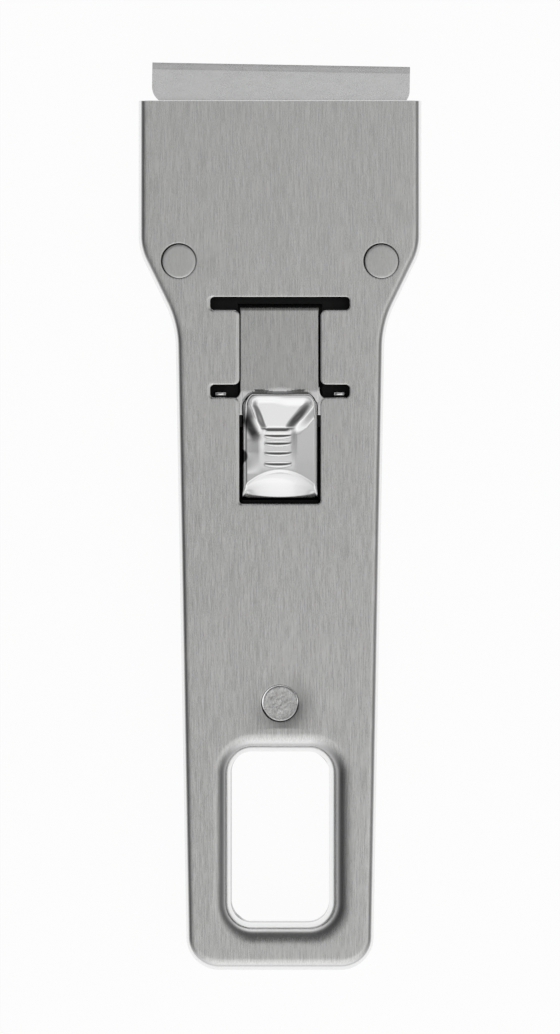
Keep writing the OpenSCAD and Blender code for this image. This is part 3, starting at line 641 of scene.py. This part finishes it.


# Painted shade of the rear shell: the floor inside it is darkened as shade
def rearPaintedShade(points):
    outline = bodyPath(0.0)[0]
    deep = points[:, 2] - noseLift(points[:, 1]) > body["sheet"] - 0.05
    inside = insidePolygon(points[:, :2], outline) & (sideDistance(points[:, :2], outline) > body["rearDark"])
    clear = sideDistance(points[:, :2], openingPath()[0]) > opening["rearClear"]
    return np.where(deep & inside & clear, 1.0, 0.0)


def makeRearShell():
    inset, radius, sheet = body["rearInset"], body["rearRadius"], body["sheet"]
    edge, high = body["edgeRound"], body["rearWallTop"]
    flatStart = inset + radius
    lap = flatStart + body["rearLap"]
    section = np.vstack([
        [[-lap, 0.0, 1.0]],
        arc((-flatStart, radius), radius, -90.0, 0.0, 12, 1.0),
        arc((-inset - edge, high - edge), edge, 0.0, 90.0, 3),
        arc((-inset - sheet + edge, high - edge), edge, 90.0, 180.0, 3),
        arc((-flatStart, radius), radius - sheet, 0.0, -90.0, 12, 1.0),
        [[-lap, sheet, 1.0]],
    ])
    path = bodyPath(edge)
    blocks = [shellRim(section, path, -1.0)]
    wall, roll, rim = opening["rearOut"], opening["rearRoll"], opening["rearRim"]
    centre = wall + roll
    margin = centre + opening["rearLap"]
    collar = np.vstack([
        [[margin, 0.0, 0.0]],
        arc((centre, roll), roll, 270.0, 180.0, 14),
        arc((wall + edge, rim - edge), edge, 180.0, 90.0, 3),
        arc((wall + sheet - edge, rim - edge), edge, 90.0, 0.0, 3),
        arc((centre, roll), roll - sheet, 180.0, 270.0, 14),
        [[margin, sheet, 0.0]],
    ])
    around = openingPath()
    blocks.append(closedStrip(collar, around))
    holes = [around[0] + margin * around[1]]
    rim = holeSection(sheet, 0.0, *rivet["rearHole"], 2)
    for x, y, hole in rivetHoles:
        line = circlePath(x, y, hole)
        blocks.append(closedStrip(rim, line))
        holes.append(line[0] + rim[0, 0] * line[1])
    outer = path[0] - lap * path[1]
    start = body["length"] / 2 - body["headLength"]
    number = np.arange(len(outer) // 2)
    bend = number[np.abs(outer[number, 1] - start - 0.2) < body["bendHalf"] - 0.05]    # clear of the holes
    flat, faces = flatSheet(outer, holes, 2.0, [(k, len(outer) - 1 - k) for k in bend])
    rise = noseLift(flat[:, 1])
    for level in (0.0, sheet):
        blocks.append((np.column_stack([flat, rise + level]), faces))
    makePiece("rearShell", blocks, "housing", ["rear_shell"], steelShell,
            {"paintedShade": rearPaintedShade})


makeFrontShell()
makeRearShell()


# Rivets
# Turned piece: a profile of radius and height, turned once round an upright axis
def turned(profile, x, y, number=72, rough=None):
    outward = direction(np.arange(number) * 360.0 / number)
    profile = np.asarray(profile, dtype=float)
    plan = profile[:, 0, None, None] * outward
    grid = np.dstack([x + plan[..., 0], y + plan[..., 1], np.repeat(profile[:, 1, None], number, axis=1)])
    if rough is not None:
        grid[..., 2] += rough(grid[..., 0] - x, grid[..., 1] - y) * (profile[:, 1, None] > body["depth"])
    return grid, cappedFaces(len(profile), number)


def headRivetProfile():
    radius, top, sheet, edge = rivet["headRadius"], body["depth"], body["sheet"], rivet["round"]
    pole, crown, wide = rivet["pole"], rivet["crown"], rivet["postRadius"]
    rings = np.linspace(pole, radius - edge, 9)
    upper = np.column_stack([rings, top - crown * (rings / radius) ** 4])
    shoulder = arc((radius - edge, top - crown - edge), edge, 90.0, 0.0, 5)[1:, :2]
    post = [[radius, top - rivet["neck"]], [radius, top - sheet], [wide, top - sheet], [wide, sheet],
            [radius, sheet], [radius, edge], [radius - 0.3 * edge, 0.3 * edge], [radius - edge, 0.0],
            [pole, 0.0]]
    return np.vstack([upper, shoulder, post])


hammer = {
    "blows": 70, "spread": 3.0, "deepest": 0.07, "slant": 35.0, "drawnOut": 1.8, "steep": 0.3,
    "bottom": 0.06, "least": -0.15, "strength": 0.4, "reach": 2.5, "fade": 0.3,
}


# Hammer marks: each point takes the depth of the nearest blow, a shallow bowl drawn out along a
# slanting line, so that ridges stand where two bowls meet
def hammered(x, y):
    h = hammer
    draw = np.random.default_rng(7)
    slant = np.radians(h["slant"])
    along = x * np.cos(slant) + y * np.sin(slant)
    across = y * np.cos(slant) - x * np.sin(slant)
    places = draw.uniform(-h["spread"], h["spread"], (h["blows"], 2))
    depths = draw.uniform(0.0, h["deepest"], h["blows"])
    away = ((along[..., None] - places[:, 0]) / h["drawnOut"]) ** 2 + (across[..., None] - places[:, 1]) ** 2
    bowl = np.min(away * h["steep"] - depths, axis=-1)
    inner = np.clip((h["reach"] - np.hypot(x, y)) / h["fade"], 0.0, 1.0)
    return h["strength"] * np.clip(bowl - h["bottom"], h["least"], 0.0) * inner


# Painted shade of a rivet: its post below the head is darkened as shade
def rivetPaintedShade(points):
    return np.where(points[:, 2] < body["depth"] - rivet["round"] - 0.08, 1.0, 0.0)


def makeRivets():
    (asideX, asideY), paintedShade = rivet["aside"], {"paintedShade": rivetPaintedShade}
    for word, side in (("Left", -1), ("Right", 1)):
        blocks = [turned(headRivetProfile(), side * rivet["headX"] + asideX, rivet["headY"] + asideY)]
        makePiece("headRivet" + word, blocks, "housing", ["head_rivet_" + word.lower()],
                steelRivet, paintedShade)
    radius, top = rivet["tailRadius"], body["depth"] + rivet["proud"]
    edge, pole = rivet["tailRound"], rivet["tailPole"]
    rings = np.linspace(pole, radius - edge, 40)
    upper = np.column_stack([rings, np.full(len(rings), top)])
    shoulder = arc((radius - edge, top - edge), edge, 90.0, 0.0, 6)[1:, :2]
    foot = [[radius, body["depth"] - rivet["tailNeck"]], [radius, edge], [radius - 0.3 * edge, 0.3 * edge],
            [radius - edge, 0.0], [pole, 0.0]]
    profile = np.vstack([upper, shoulder, foot])
    blocks = [turned(profile, asideX, rivet["tailY"] + asideY, 120, hammered)]
    makePiece("tailRivet", blocks, "housing", ["tail_rivet"], steelPeened, paintedShade, 50.0)


makeRivets()


# Thumb catch
catch = {
    "halfWidth": 6.17, "lowY": 5.75, "bendY": 22.9, "endY": 35.4, "top": 8.0, "rise": 1.9,
    "tongueLeft": 6.19, "tongueRight": 6.0, "buttonHalf": 5.95,     # half widths of the strip
    "shift": -0.34, "endShift": 0.25,           # the pressed strip sits a little off the middle
    "stripHalf": 2.33, "stripLow": 9.86, "stripHigh": 16.1, "flareY": 16.8, "flareHalf": 3.0,
    "flareEnd": 20.2, "endHalf": 5.05, "crestY": 21.75, "crestCorner": 1.3, "footY": 22.35, "footCorner": 2.4,
    "lift": 0.6, "liftLow": 15.6, "liftHigh": 18.4, "outer": 1.6,  # the crest stands over the strip
    "floor": 1.64, "floorRise": 0.13, "dishLeft": 1.25, "dishRight": 1.75, "dishHigh": 0.35,
    "dishEnd": 0.02, "dishTurn": 1.5,
    "middleFall": 0.2, "middleHalf": (2.0, 3.2), "middleLow": (10.0, 16.3), "middleHigh": (16.2, 17.0),
    "leftFall": 0.22, "leftSide": (2.4, 5.6), "leftLow": (9.5, 13.0), "leftHigh": (14.5, 18.5),
    "leftRoll": 0.95, "rightRoll": 0.7, "cornerY": 20.0,
    "fanBow": 1.8, "fanHalf": 4.9, "fanPast": 0.13, "fanPower": 1.35, "fanRise": 1.3, "fanBlend": 0.6,
    "footBack": 0.3, "footSide": (0.5, 3.0), "footPower": 1.5, "footBlend": 0.12,
    "ridges": [11.36, 13.04, 14.56, 15.76], "ridgeHalf": 2.25,
    "bar": 0.065, "barAt": 0.12, "barBow": 0.4, "barWide": 0.17, "groove": 0.055, "grooveAt": 0.13,
    "round": 0.09, "tongueFrom": (21.9, 23.0), "rootY": 0.5, "rootZ": 4.0, "rootIn": 0.02,
    "heelRadii": [0.38, 1.0, 0.1, 0.1, 0.25, 0.38],
    "armTop": 21.3, "armDepth": 2.6, "armHalf": 10.2, "armFillet": 1.2, "armCorner": 0.3, "armLap": 0.8,
    "filletLap": 0.6, "slack": 0.003,
    "row": 0.1, "fineRow": 0.05, "fineLow": 10.6, "fineHigh": 16.4,      # spacing of the mesh's rows
    "darkBelow": (7.3, 7.6),                                             # the sides under the face are painted dark as shade
    "bendAt": (-4.65, 16.9), "bendWay": (0.87, 0.497), "bendWide": 0.8,  # painted shade and reflection beside the dish
    "bendLong": (1.1, 3.0), "bendDark": 0.96,
    "hollowAt": (-6.1, 12.3), "hollowSize": (1.2, 1.25),                 # and painted shade in the left edge's hollow
    "hollowSoft": (0.75, 1.05), "hollowDark": 0.95,
    "polishEnd": 22.75, "polishSoft": (0.35, 0.25), "polishLow": (7.0, 7.3), "armPolish": 0.6,
    "waveHigh": 0.22, "waveTurn": 0.9, "sideDrop": 0.35, "sideFrom": (3.0, 6.0),
}


def smoothMin(a, b, width):
    share = np.clip(0.5 + 0.5 * (b - a) / width, 0.0, 1.0)
    return b * (1 - share) + a * share - width * share * (1 - share)


# Distance outside the crest line (less than 0 inside it): straight sides along the strip, sides that
# flare towards the end, and the end line, joined by a round corner
def outsideCrest(x, y):
    c = catch
    off = np.abs(x - c["shift"] - (c["endShift"] - c["shift"]) * step(y, c["flareY"], c["flareEnd"]))
    slope = (c["endHalf"] - c["flareHalf"]) / (c["flareEnd"] - c["flareY"])
    half = c["stripHalf"] + (c["flareHalf"] - c["stripHalf"]) * step(y, c["stripHigh"] - 0.2, c["flareY"])
    along = np.minimum(y, c["flareEnd"]) - c["flareY"]
    half = np.where(y > c["flareY"], c["flareHalf"] + slope * along, half)
    side = (off - half) / np.hypot(1.0, np.where(y > c["flareY"], slope, 0.0))
    end, corner = y - c["crestY"], c["crestCorner"]
    both = np.hypot(np.maximum(side + corner, 0.0), np.maximum(end + corner, 0.0)) - corner
    return both + np.minimum(np.maximum(side, end) + corner, 0.0), off


# Height of the pressed button. A crest stands over the strip's end: outside it the surface falls to
# the strip's level, and inside, a dish's floor rises to the end crest. The left side steps down from
# the strip. The whole is closed by the rolled sides, the fan below the strip and the end wall. Each
# grip ridge is a lens-shaped bar with a groove on its far side.
def buttonHeight(x, y):
    c = catch
    side, off = outsideCrest(x, y)
    crest = c["rise"] + c["lift"] * step(y, c["liftLow"], c["liftHigh"])
    floor = np.minimum(c["floor"] + c["floorRise"] * (y - c["flareY"]), crest)
    wide = c["dishLeft"] + (c["dishRight"] - c["dishLeft"]) * step(x, -c["dishTurn"], c["dishTurn"])
    end = step(c["crestY"] + c["dishEnd"] - y, 0.0, c["dishHigh"])
    dish = (crest - floor) * step(-side, 0.0, wide) * end
    level = crest - (crest - c["rise"]) * step(side, -0.1, c["outer"])
    level = np.where(y > c["stripHigh"] - 0.1, level - dish * step(y, c["stripHigh"], c["flareY"]), level)
    middle = (1 - step(off, *c["middleHalf"])) * step(y, *c["middleLow"]) * (1 - step(y, *c["middleHigh"]))
    left = step(-x, *c["leftSide"]) * step(y, *c["leftLow"]) * (1 - step(y, *c["leftHigh"]))
    level = level - c["middleFall"] * middle - c["leftFall"] * left
    turn = np.clip((y - c["cornerY"]) / c["footCorner"], 0.0, 0.999)
    reach = c["halfWidth"] - c["footCorner"] * (1 - np.sqrt(1 - turn ** 2))
    roll = np.where(x < 0, c["leftRoll"], c["rightRoll"])
    out = np.clip((np.abs(x) - reach + roll) / roll, 0.0, 1.0)
    level = level * np.sqrt(1 - out ** 2)
    bow = c["stripLow"] - c["fanBow"] * (x / c["fanHalf"]) ** 2
    low = np.clip((bow - y) / (bow - c["lowY"] + c["fanPast"]), 0.0, 1.0)
    fan = c["rise"] * (1 - low ** c["fanPower"]) + c["fanRise"] * np.clip(y - bow, 0.0, 1.0)
    foot = c["footY"] + c["footBack"] * step(np.abs(x), *c["footSide"])
    high = np.clip((y - c["crestY"]) / (foot - c["crestY"]), 0.0, 1.0)
    wall = (c["rise"] + c["lift"]) * (1 - high ** c["footPower"])
    level = smoothMin(smoothMin(level, fan, c["fanBlend"]), wall, c["footBlend"])
    level = np.maximum(level, 0.0)
    lens = np.sqrt(np.clip(1 - ((x - c["shift"]) / c["ridgeHalf"]) ** 2, 0.0, 1.0))
    for place in c["ridges"]:
        under = place - y
        bar = np.exp(-((under - c["barAt"] - c["barBow"] * lens) / c["barWide"]) ** 2)
        groove = np.exp(-((under - c["grooveAt"]) / c["grooveAt"]) ** 2)
        level = level + lens * (c["bar"] * bar - c["groove"] * groove)
    return level


# Painted shade of the catch: all that lies under the housing's face, painted shade and reflection in the
# bend beside the dish, and painted shade in the hollow in the left edge
def catchPaintedShade(points):
    x, y, z = points.T
    c = catch
    (atX, atY), (wayX, wayY) = c["bendAt"], c["bendWay"]
    across, along = wayX * (x - atX) + wayY * (y - atY), wayY * (x - atX) - wayX * (y - atY)
    bend = c["bendDark"] * np.exp(-(across / c["bendWide"]) ** 4) * (1 - step(np.abs(along), *c["bendLong"]))
    (atX, atY), (sizeX, sizeY) = c["hollowAt"], c["hollowSize"]
    away = np.hypot((x - atX) / sizeX, (y - atY) / sizeY)
    hollow = c["hollowDark"] * (1 - step(away, *c["hollowSoft"]))
    return np.maximum(np.maximum(bend, hollow) * (z > c["top"]), 1 - step(z, *c["darkBelow"]))


# Polished share of the catch: the button up to a wavy line past its foot, and the arms in part
def catchPolish(points):
    x, y, z = points.T
    c = catch
    wave = c["polishEnd"] + c["waveHigh"] * np.cos(x * c["waveTurn"])
    wave = wave - c["sideDrop"] * step(np.abs(x), *c["sideFrom"])
    before, past = c["polishSoft"]
    polish = (1 - step(y, wave - before, wave + past)) * step(z, *c["polishLow"])
    return np.where(np.abs(x) > c["halfWidth"] + 0.02, c["armPolish"], polish)


# Quads that close the end of a flat closed section, from its upper points to the ones below
def endFaces(number, last, start):
    k = np.arange(number - 1)
    return (start + np.stack([k, k + 1, last - 1 - k, last - k], axis=1)).tolist()


# Strip: at each place along it, a closed section runs over the top, round the right edge and back
# under, following the button's height
def makeStrip():
    c = catch
    edge, half, sheet = c["round"], c["halfWidth"], body["sheet"]
    across = np.linspace(-half + edge, half - edge, 122)
    row, fineLow, fineHigh = c["row"], c["fineLow"], c["fineHigh"]
    along = np.concatenate([[c["lowY"]], np.arange(c["lowY"] + edge, fineLow, row),
            np.arange(fineLow, fineHigh, c["fineRow"]), np.arange(fineHigh, c["bendY"] + 0.4, row),
            np.linspace(c["bendY"] + 0.5, c["endY"] - edge, 24), [c["endY"]]])
    over = np.array([[half - 0.3 * edge, -0.3 * edge], [half, -edge], [half, edge - sheet],
            [half - 0.3 * edge, 0.3 * edge - sheet]])
    back = over[::-1] * [-1, 1]
    sectionX = np.concatenate([across, over[:, 0], across[::-1], back[:, 0]])
    down = np.concatenate([np.zeros(len(across)), over[:, 1], np.full(len(across), -sheet), back[:, 1]])
    x = np.repeat(sectionX[None], len(along), axis=0)
    y = np.repeat(along[:, None], len(sectionX), axis=1)
    z = c["top"] + buttonHeight(x, y) + down[None]
    tongue = step(y, *c["tongueFrom"])
    left = c["buttonHalf"] + (c["tongueLeft"] - c["buttonHalf"]) * tongue
    right = c["buttonHalf"] + (c["tongueRight"] - c["buttonHalf"]) * tongue
    x = x * np.where(x < 0, left, right) / half
    for row in (0, len(along) - 1):
        z[row] += np.where(down > -sheet / 2, -edge, edge)
    grid = np.dstack([x, y, z])
    rows, columns = x.shape
    faces = gridFaces(rows, columns, closeColumns=True).tolist()
    number = len(across)
    over = number + len(over)
    for row in (0, rows - 1):
        faces.extend(endFaces(number, over + number - 1, row * columns))
        faces.append([row * columns + n for n in range(number - 1, over + 1)])
        faces.append([row * columns + n for n in list(range(over + number - 1, columns)) + [0]])
    return grid, faces


# Flat plate with an outline in plan and small rounded edges
def plate(corners, radii, low, high, edge):
    path = roundedPath(corners, radii, 10)
    section = np.array([[-2.2 * edge, high, 0.0], [-edge, high, 0.0], [-0.3 * edge, high - 0.3 * edge, 0.0],
            [0.0, high - edge, 0.0], [0.0, low + edge, 0.0], [-0.3 * edge, low + 0.3 * edge, 0.0],
            [-edge, low, 0.0], [-2.2 * edge, low, 0.0]])
    blocks = [closedStrip(section, path)]
    flat, faces = flatSheet(path[0] - 2.2 * edge * path[1], [], 50.0)
    for level in (low, high):
        blocks.append((np.column_stack([flat, np.full(len(flat), level)]), faces))
    return blocks


def makeCatch():
    c = catch
    blocks = [makeStrip()]
    bottom = c["top"] - body["sheet"]
    half, top, fillet, inner = c["halfWidth"], c["armTop"], c["armFillet"], c["halfWidth"] - c["armLap"]
    low, high = top - c["armDepth"], top + fillet + c["filletLap"]
    for side in (1, -1):
        corners = [[inner, low], [c["armHalf"], low], [c["armHalf"], top], [half, top], [half, high],
                [inner, high]]
        radii = [0, c["armCorner"], c["armCorner"], fillet, 0, 0]
        if side < 0:
            corners = [[-x, y] for x, y in corners[::-1]]
            radii = radii[::-1]
        blocks.extend(plate(corners, radii, bottom + c["slack"], c["top"] - c["slack"], c["round"]))
    low, z, sheet = c["lowY"], c["rootZ"], body["sheet"]
    heel = roundedPath([[c["rootY"] - sheet / 2, z], [low + sheet, z], [low + sheet, bottom + sheet / 2],
            [low, bottom + sheet / 2], [low, z + sheet], [c["rootY"] - sheet / 2, z + sheet]],
            c["heelRadii"], 10)[0]
    flat, faces = flatSheet(heel, [], 50.0)
    inside = c["buttonHalf"] - c["rootIn"]
    number = len(heel)
    ends = np.array([-inside, inside])
    grid = np.dstack([np.repeat(ends[:, None], number, axis=1), np.repeat(heel[None, :, 0], 2, axis=0),
            np.repeat(heel[None, :, 1], 2, axis=0)])
    blocks.append((grid, gridFaces(2, number, closeColumns=True)))
    for end in ends:
        blocks.append((np.column_stack([np.full(len(flat), end), flat]), faces))
    makePiece("thumbCatch", blocks, "catch", ["thumb_catch"], steelCatch,
            {"polish": catchPolish, "paintedShade": catchPaintedShade}, 48.0)


makeCatch()


# Lock spring
spring = {"half": 10.2, "lowY": 16.9, "highY": 21.3, "low": 6.7, "sheet": 0.5, "round": 0.07,
        "lugX": 9.22, "lugHalf": 0.98, "lugY": 21.6, "lugDepth": 0.8, "lugTop": 8.8, "lugBase": 1.9,
        "lugSunk": 0.1, "square": 0.45, "domeHigh": 0.8, "domePower": 0.8, "corner": 0.3, "inner": 0.2,
        "darkBelow": (1.0, 0.7), "slack": 0.004}


# Lug: a rounded oblong section rises straight, then closes over in an elliptic dome
def lug(x, y, halfX, halfY, low, high):
    around = np.arange(40) * 2 * np.pi / 40
    plan = np.stack([np.cos(around), np.sin(around)], axis=-1)
    plan = np.array([halfX, halfY]) * np.sign(plan) * np.abs(plan) ** spring["square"]
    angles = np.radians(np.linspace(0.0, 88.0, 12))
    dome = halfX * spring["domeHigh"]
    shares = np.concatenate([[1.0], np.cos(angles) ** spring["domePower"]])[:, None]
    levels = np.concatenate([[low], high - dome + dome * np.sin(angles)])[:, None]
    grid = np.dstack([x + shares * plan[:, 0], y + shares * plan[:, 1], np.repeat(levels, 40, axis=1)])
    return grid, cappedFaces(13, 40)


def makeSpring():
    s = spring
    half, inner, low, high = s["half"], s["half"] - s["lugBase"], s["lowY"], s["highY"]
    deep = s["lugDepth"] / 2
    front = s["lugY"] + s["lugDepth"]
    right = [[half, low], [half, front], [inner, front], [inner, high]]
    corners = [[-half, low]] + right + [[-x, y] for x, y in right[:0:-1]]
    radii = [s["corner"]] * 2 + [s["inner"]] * 6
    blocks = plate(corners, radii, s["low"], s["low"] + s["sheet"] - s["slack"], s["round"])
    for side in (-1, 1):
        blocks.append(lug(side * s["lugX"], s["lugY"] + deep, s["lugHalf"], deep, s["low"] + s["lugSunk"],
                s["lugTop"]))
    # Painted shade: the lugs are darkened below their lit tops
    dark = [s["lugTop"] - below for below in s["darkBelow"]]
    makePiece("lockSpring", blocks, "catch", ["lock_spring"], steelSpring,
            {"paintedShade": lambda points: 1 - step(points[:, 2], *dark)})


makeSpring()


# Blade
blade = {"width": 40.0, "length": 22.0, "sheet": 0.3, "bottom": 7.7, "y": 62.1, "skew": 1.0, "lobe": 2.6,
        "notchLength": 9.4, "notchDepth": 1.2, "hone": 0.25, "grind": 1.0, "flat": 1.05,
        # heights of the two faces at the edge, at the ends of the hone and the grind, and on the flat
        "upper": [0.075, 0.098, 0.145, 0.15], "lower": [0.02, -0.03, -0.145, -0.15]}


# Heights of the blade's upper and lower face, by the distance from the nearer cutting edge: a hone, a
# shallower grind, and the flat; most of the grind is on the lower face
def bladeFaces(away):
    places = [0.0, blade["hone"], blade["grind"], blade["flat"]]
    return np.interp(away, places, blade["upper"]), np.interp(away, places, blade["lower"])


# Blade: rows run across it from one cutting edge to the other. A row's half width is the lobe's,
# rounded into the notch, and its section goes over the top and back under
def makeBlade():
    b = blade
    half, lobe, notch = b["length"] / 2, b["lobe"], b["notchLength"] / 2
    width = b["width"] / 2
    curve = notch + lobe * (1 - np.cos(np.linspace(0.0, np.pi / 2, 16)))
    straight = np.linspace(notch + lobe, half - b["grind"] - 0.1, 8)[1:]
    ground = half - np.array([b["flat"], b["grind"], b["grind"] * 0.75, b["grind"] * 0.5, b["hone"],
            b["hone"] / 2, 0.0])
    ahead = np.concatenate([np.linspace(0.0, notch, 4), curve, straight, ground])
    places = np.concatenate([-ahead[:0:-1], ahead])
    away = np.abs(places)
    inward = lobe - np.sqrt(np.clip(lobe ** 2 - np.clip(notch + lobe - away, 0.0, lobe) ** 2, 0.0, None))
    reach = width - np.where(away <= notch, b["notchDepth"], np.minimum(inward, b["notchDepth"]))
    across = np.linspace(-1.0, 1.0, 61)
    upper, lower = bladeFaces(half - away)
    x = reach[:, None] * np.concatenate([across, across[::-1]])[None]
    y = np.repeat(places[:, None], 122, axis=1)
    z = b["bottom"] + b["sheet"] / 2 + np.hstack([np.repeat(upper[:, None], 61, axis=1),
            np.repeat(lower[:, None], 61, axis=1)])
    skew = np.radians(-b["skew"])
    grid = np.dstack([x * np.cos(skew) - y * np.sin(skew), b["y"] + x * np.sin(skew) + y * np.cos(skew), z])
    rows = len(places)
    faces = gridFaces(rows, 122, closeColumns=True).tolist()
    for row in (0, rows - 1):
        faces.extend(endFaces(61, 121, row * 122))
    makePiece("bladePiece", [(grid, faces)], "slide", ["blade"], steelBlade, {}, 20.0)


makeBlade()


# Pieces that stay as the CAD made them, in a near-black finish that is painted shade inside the housing
for node in ("slide_plate", "tail_spacer"):
    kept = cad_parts[node].data.materials
    kept.clear()
    kept.append(steelPaintedShade)
print("pieces dressed")


# Studio
studio = {
    "cameraY": 2.89, "cameraZ": 809.0, "seen": 160.3,     # seen is the frame's height at the face
    "film": 36.0, "floorHalf": 2.5, "floorZ": -0.0001, "floor": 0.92, "glow": 1.03,
    "lampAt": (0.25, -0.75, 0.7), "lampSize": 0.9, "lampPower": 0.15,
    "dark": 0.66, "darkY": -0.016, "darkWide": 0.035,     # the dark band overhead, where the camera stands
    # brightness of the surroundings by the angle from overhead, towards each of four sides, over this span
    "span": 100.0,
    "right": [(0, 0.74), (5, 0.74), (8, 0.84), (12, 0.92), (20, 0.84), (27, 0.76), (36, 0.5), (45, 0.28),
        (55, 0.18), (64, 0.19), (74, 0.32), (84, 0.5), (92, 0.8)],
    "left": [(0, 0.74), (6, 0.62), (12, 0.5), (20, 0.42), (28, 0.3), (36, 0.2), (45, 0.11), (55, 0.07),
        (64, 0.1), (74, 0.3), (84, 0.6), (92, 0.9)],
    "near": [(0, 0.74), (4, 0.78), (6, 0.7), (8, 0.46), (10, 0.46), (13, 0.86), (24, 0.92), (40, 0.94),
        (50, 0.9), (60, 0.84), (73, 0.74), (80, 0.55), (86, 0.75), (92, 1.0)],
    "far": [(0, 0.74), (4, 0.78), (6, 0.68), (8, 0.52), (12, 0.36), (17, 0.24), (25, 0.14), (40, 0.1),
        (58, 0.08), (68, 0.12), (74, 0.4), (78, 0.7), (84, 0.95), (92, 1.0)],
}


# Ramp over the angle from overhead, as a share of the span
def addRamp(tree, value, stops):
    node = addNode(tree, "ShaderNodeValToRGB", {0: value})
    elements = node.color_ramp.elements
    for angle, _ in stops[1:-1]:
        elements.new(angle / studio["span"])
    for place, (angle, light) in zip(elements, stops):
        place.position = angle / studio["span"]
        place.color = (light, light, light, 1.0)
    return node.outputs["Color"]


# Surroundings by direction: a ramp for each side, weighed by the square of the direction's share to
# that side, with a dark band overhead; the camera sees white
def makeWorld():
    world = bpy.data.worlds.new("studio")
    bpy.context.scene.world = world
    world.use_nodes = True
    tree = world.node_tree
    place = addNode(tree, "ShaderNodeTexCoord").outputs
    way = addNode(tree, "ShaderNodeSeparateXYZ", {0: place["Generated"]}).outputs
    flat = math(tree, "SUBTRACT", 1.0, math(tree, "MULTIPLY", way["Z"], way["Z"]))
    flat = math(tree, "MAXIMUM", flat, 1e-7)
    angle = math(tree, "MULTIPLY", math(tree, "ARCCOSINE", way["Z"]), np.degrees(1.0) / studio["span"])
    sky = 0.0
    sides = {"right": ("X", 1.0), "left": ("X", -1.0), "far": ("Y", 1.0), "near": ("Y", -1.0)}
    for side, (axis, sign) in sides.items():
        share = math(tree, "MAXIMUM", math(tree, "MULTIPLY", way[axis], sign), 0.0)
        weight = math(tree, "DIVIDE", math(tree, "MULTIPLY", share, share), flat)
        sky = math(tree, "MULTIPLY_ADD", addRamp(tree, angle, studio[side]), weight, sky)
    away = math(tree, "DIVIDE", math(tree, "SUBTRACT", way["Y"], studio["darkY"]), studio["darkWide"])
    band = math(tree, "EXPONENT", math(tree, "MULTIPLY", math(tree, "MULTIPLY", away, away), -1.0))
    band = math(tree, "MULTIPLY", band, eased(tree, way["Z"], 0.9, 0.98))
    sky = math(tree, "MULTIPLY", sky, math(tree, "MULTIPLY_ADD", band, -studio["dark"], 1.0))
    path = addNode(tree, "ShaderNodeLightPath").outputs
    sky = math(tree, "MULTIPLY_ADD", math(tree, "SUBTRACT", 1.0, sky), path["Is Camera Ray"], sky)
    background = tree.nodes["Background"]
    tree.links.new(sky, background.inputs["Color"])
    background.inputs["Strength"].default_value = 1.0


def makeFloor():
    half, z = studio["floorHalf"], studio["floorZ"]
    mesh = bpy.data.meshes.new("floor")
    corners = [(-half, -half, z), (half, -half, z), (half, half, z), (-half, half, z)]
    mesh.from_pydata(corners, [], [(0, 1, 2, 3)])
    floor = addObject("floor", mesh)
    material, tree, shader = newMaterial("paleFloor")
    shader.inputs["Base Color"].default_value = (0.9, 0.9, 0.9, 1.0)
    shader.inputs["Roughness"].default_value = 0.9
    shader.inputs["Specular IOR Level"].default_value = 0.1
    path = addNode(tree, "ShaderNodeLightPath").outputs
    seen = math(tree, "ADD", path["Is Camera Ray"], path["Is Glossy Ray"], clamp=True)
    seen = math(tree, "ADD", seen, path["Is Transmission Ray"], clamp=True)
    glow = addNode(tree, "ShaderNodeEmission", {"Color": (1.0, 1.0, 1.0, 1.0),
            "Strength": studio["glow"]}).outputs[0]
    share = math(tree, "MULTIPLY", seen, studio["floor"])
    mixed = addNode(tree, "ShaderNodeMixShader", {0: share, 1: shader.outputs[0], 2: glow}).outputs[0]
    tree.links.new(mixed, tree.nodes["Material Output"].inputs["Surface"])
    mesh.materials.append(material)


def makeLamp(name, place, size, power):
    lamp = bpy.data.lights.new(name, "AREA")
    lamp.shape = "DISK"
    lamp.size = size
    lamp.energy = power
    piece = addObject(name, lamp)
    piece.location = place
    piece.rotation_euler = (-Vector(place)).to_track_quat("-Z", "Y").to_euler()


def makeCamera():
    lens = bpy.data.cameras.new("camera")
    camera = addObject("camera", lens)
    camera.location = (0.0, studio["cameraY"] * mm, studio["cameraZ"] * mm)
    lens.sensor_fit = "VERTICAL"
    lens.sensor_height = studio["film"]
    lens.lens = studio["film"] * (studio["cameraZ"] - body["depth"]) / studio["seen"]
    lens.clip_start = 0.01
    lens.clip_end = 20.0
    bpy.context.scene.camera = camera


makeWorld()
makeFloor()
makeLamp("nearLamp", studio["lampAt"], studio["lampSize"], studio["lampPower"])
makeCamera()
bpy.context.scene.view_settings.view_transform = "Standard"
print("studio made")
